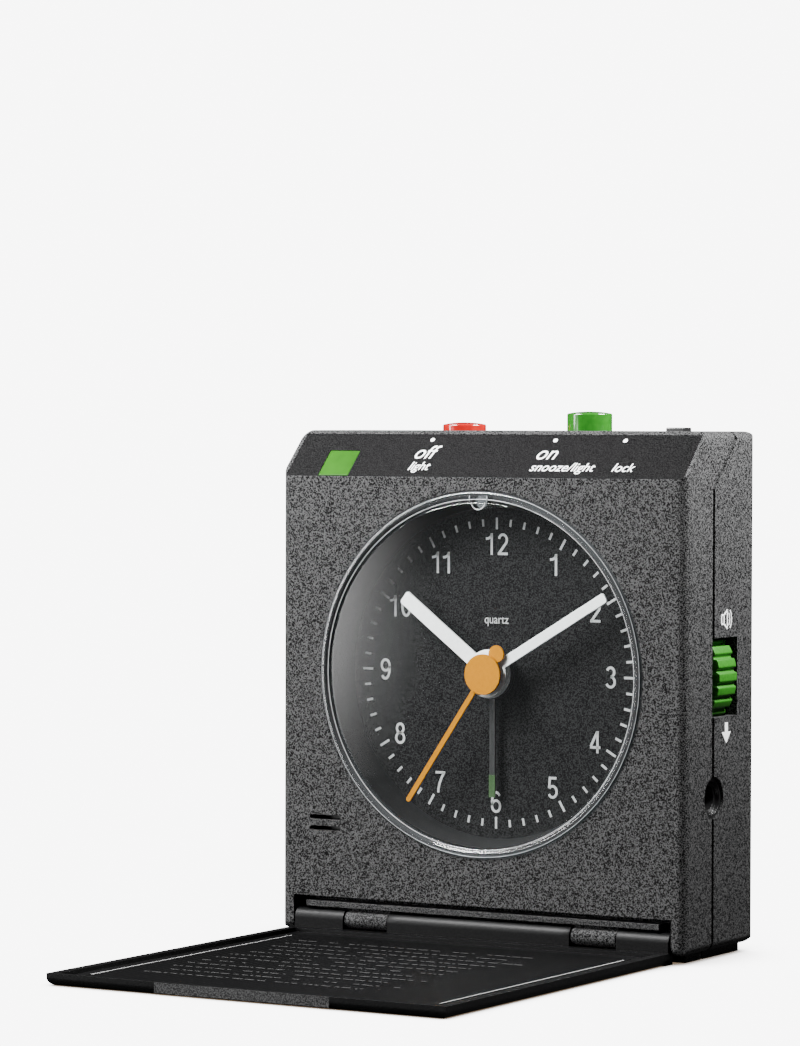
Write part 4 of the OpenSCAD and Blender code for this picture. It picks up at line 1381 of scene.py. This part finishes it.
@dataclass
class Studio:
    """Floor, lights and camera."""

    place: tuple[float, float, float] = (0.312777, -0.561540, 0.079991)
    yaw: float = 30.698
    pitch: float = 1.395
    roll: float = 0.131
    lens: float = 144.67
    backdrop: float = 8.0
    fill: float = 0.06
    shadow_reach: float = 0.014
    glow: float = 17.0
    glow_centre: tuple[float, float, float] = (-0.208, -0.27, 0.045)
    glow_size: tuple[float, float, float] = (0.054, 1.0, 0.078)
    card_x: tuple[float, float] = (-0.34, -0.02)
    card_z: tuple[float, float] = (-0.01, 0.13)
    floor_half: float = 6.0
    floor_tone: Colour = (0.04, 0.04, 0.04)
    shadow_tone: Colour = (0.03, 0.022, 0.015)
    shadow_range: tuple[float, float] = (0.12, 0.98)
    lights: tuple[Softbox, ...] = (
        Softbox("key", (-0.85, -0.72, 0.34), (0, 0, 0.04), (0.42, 0.5), 14.0),
        Softbox("top", (-0.11, -0.13, 0.22), (0, 0, 0.13), (0.1, 0.1), 3.4),
        Softbox("side", (0.12, 0.03, 0.18), (0.02, 0, 0.19), (0.08, 0.08), 3.4),
    )

    def build_camera(self) -> None:
        """Sets up the camera from its yaw, downward pitch and roll."""
        data = bpy.data.cameras.new("camera")
        data.lens = self.lens
        data.sensor_width = 36.0
        data.clip_start = 0.01
        camera = bpy.data.objects.new("camera", data)
        bpy.context.scene.collection.objects.link(camera)
        turn = Matrix.Rotation(math.radians(self.yaw), 4, "Z")
        tilt = Matrix.Rotation(math.radians(90 - self.pitch), 4, "X")
        roll = Matrix.Rotation(math.radians(self.roll), 4, "Z")
        camera.matrix_world = Matrix.Translation(self.place) @ turn @ tilt @ roll
        bpy.context.scene.camera = camera

    def bright_for_camera(self, tree: bpy.types.NodeTree, bright: bpy.types.Node,
                          plain: bpy.types.Node, output: bpy.types.Node) -> None:
        """Shows a surface bright to the camera and plain to every other ray.

        Args:
            tree: The material's or world's node tree.
            bright: Shader that the camera sees.
            plain: Shader for the light that falls on the object.
            output: The tree's output node.
        """
        nodes = NodeTree(tree)
        path = nodes.add("LightPath")
        mix = nodes.add("MixShader")
        nodes.join(path.outputs["Is Camera Ray"], mix.inputs[0])
        nodes.join(plain.outputs[0], mix.inputs[1])
        nodes.join(bright.outputs[0], mix.inputs[2])
        nodes.join(mix.outputs[0], output.inputs["Surface"])

    def build_floor(self) -> None:
        """Lays a wide pale floor, with a painted shadow that darkens it only where the object nearly
        touches it.
        """
        made, nodes = new_material("stage_floor")
        plain = made.node_tree.nodes["Principled BSDF"]
        plain.inputs["Base Color"].default_value = (*self.floor_tone, 1)
        plain.inputs["Specular IOR Level"].default_value = 0.0
        # Painted shadow: ambient occlusion darkens the floor's camera-seen emission towards the
        # shadow tone.
        near = nodes.add("AmbientOcclusion", samples=12)
        near.inputs["Distance"].default_value = self.shadow_reach
        depth = nodes.add("MapRange", interpolation_type="SMOOTHERSTEP")
        depth.inputs["From Min"].default_value = self.shadow_range[0]
        depth.inputs["From Max"].default_value = self.shadow_range[1]
        nodes.join(near.outputs["AO"], depth.inputs["Value"])
        tone = nodes.add("Mix", data_type="RGBA")
        tone.inputs["A"].default_value = (*self.shadow_tone, 1)
        tone.inputs["B"].default_value = (1, 1, 1, 1)
        nodes.join(depth.outputs["Result"], tone.inputs["Factor"])
        bright = nodes.add("Emission")
        bright.inputs["Strength"].default_value = self.backdrop
        nodes.join(tone.outputs["Result"], bright.inputs["Color"])
        output = made.node_tree.nodes["Material Output"]
        self.bright_for_camera(made.node_tree, bright, plain, output)
        size = self.floor_half
        corners = [(-size, -size, 0), (size, -size, 0), (size, size, 0), (-size, size, 0)]
        self.stage_mesh("floor", corners, made)

    def stage_mesh(self, name: str, corners: list,
                   finish: bpy.types.Material) -> bpy.types.Object:
        """Adds a four-cornered sheet that belongs to the studio.

        Args:
            name: Name of the sheet.
            corners: Its four corners.
            finish: Its material.

        Returns:
            The new object.
        """
        mesh = bpy.data.meshes.new(name)
        mesh.from_pydata(corners, [], [[0, 1, 2, 3]])
        sheet = bpy.data.objects.new(name, mesh)
        bpy.context.scene.collection.objects.link(sheet)
        mesh.materials.append(finish)
        return sheet

    def build_card(self) -> None:
        """Stands a black card with a soft glow on it, which only reflections see."""
        made, nodes = new_material("stage_card")
        made.node_tree.nodes.remove(made.node_tree.nodes["Principled BSDF"])
        place = nodes.add("TexCoord")
        shift = nodes.add("VectorMath", operation="SUBTRACT")
        shift.inputs[1].default_value = self.glow_centre
        nodes.join(place.outputs["Object"], shift.inputs[0])
        scale = nodes.add("VectorMath", operation="DIVIDE")
        scale.inputs[1].default_value = self.glow_size
        nodes.join(shift.outputs[0], scale.inputs[0])
        far = nodes.add("VectorMath", operation="LENGTH")
        nodes.join(scale.outputs[0], far.inputs[0])
        fade = nodes.add("MapRange", interpolation_type="SMOOTHERSTEP")
        fade.inputs["From Min"].default_value = 1.0
        fade.inputs["From Max"].default_value = 0.0
        fade.inputs["To Max"].default_value = self.glow
        nodes.join(far.outputs["Value"], fade.inputs["Value"])
        glow = nodes.add("Emission")
        nodes.join(fade.outputs["Result"], glow.inputs["Strength"])
        nodes.join(glow.outputs[0], made.node_tree.nodes["Material Output"].inputs["Surface"])
        (x0, x1), (z0, z1), y = self.card_x, self.card_z, self.glow_centre[1]
        corners = [(x0, y, z0), (x1, y, z0), (x1, y, z1), (x0, y, z1)]
        card = self.stage_mesh("card", corners, made)
        card.visible_camera = False
        card.visible_shadow = False

    def build_world(self) -> None:
        """Gives an even pale background, dark where it lights the object."""
        world = bpy.data.worlds.new("studio")
        world.use_nodes = True
        bpy.context.scene.world = world
        seen = world.node_tree.nodes["Background"]
        seen.inputs["Strength"].default_value = self.backdrop
        seen.inputs["Color"].default_value = (1, 1, 1, 1)
        lit = NodeTree(world.node_tree).add("Background")
        lit.inputs["Color"].default_value = (1, 1, 1, 1)
        lit.inputs["Strength"].default_value = self.fill
        output = world.node_tree.nodes["World Output"]
        self.bright_for_camera(world.node_tree, seen, lit, output)

    def build(self) -> None:
        """Builds the studio."""
        self.build_camera()
        self.build_floor()
        self.build_world()
        self.build_card()
        for light in self.lights:
            light.hang()


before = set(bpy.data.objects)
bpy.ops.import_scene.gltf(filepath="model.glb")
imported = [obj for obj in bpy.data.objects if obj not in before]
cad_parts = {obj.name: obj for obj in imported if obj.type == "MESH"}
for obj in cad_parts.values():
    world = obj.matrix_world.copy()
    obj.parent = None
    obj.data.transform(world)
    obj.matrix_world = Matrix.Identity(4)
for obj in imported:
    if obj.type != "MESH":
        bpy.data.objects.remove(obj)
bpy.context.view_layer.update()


def main() -> None:
    """Builds the clock and the studio in order."""
    logging.basicConfig(level=logging.INFO, format="%(name)s: %(message)s")
    Studio().build()
    Case().build()
    Dial().build()
    Hands().build()
    Controls().build()
    Cover().build()
    Movement().build()


if __name__ == "__main__":
    main()
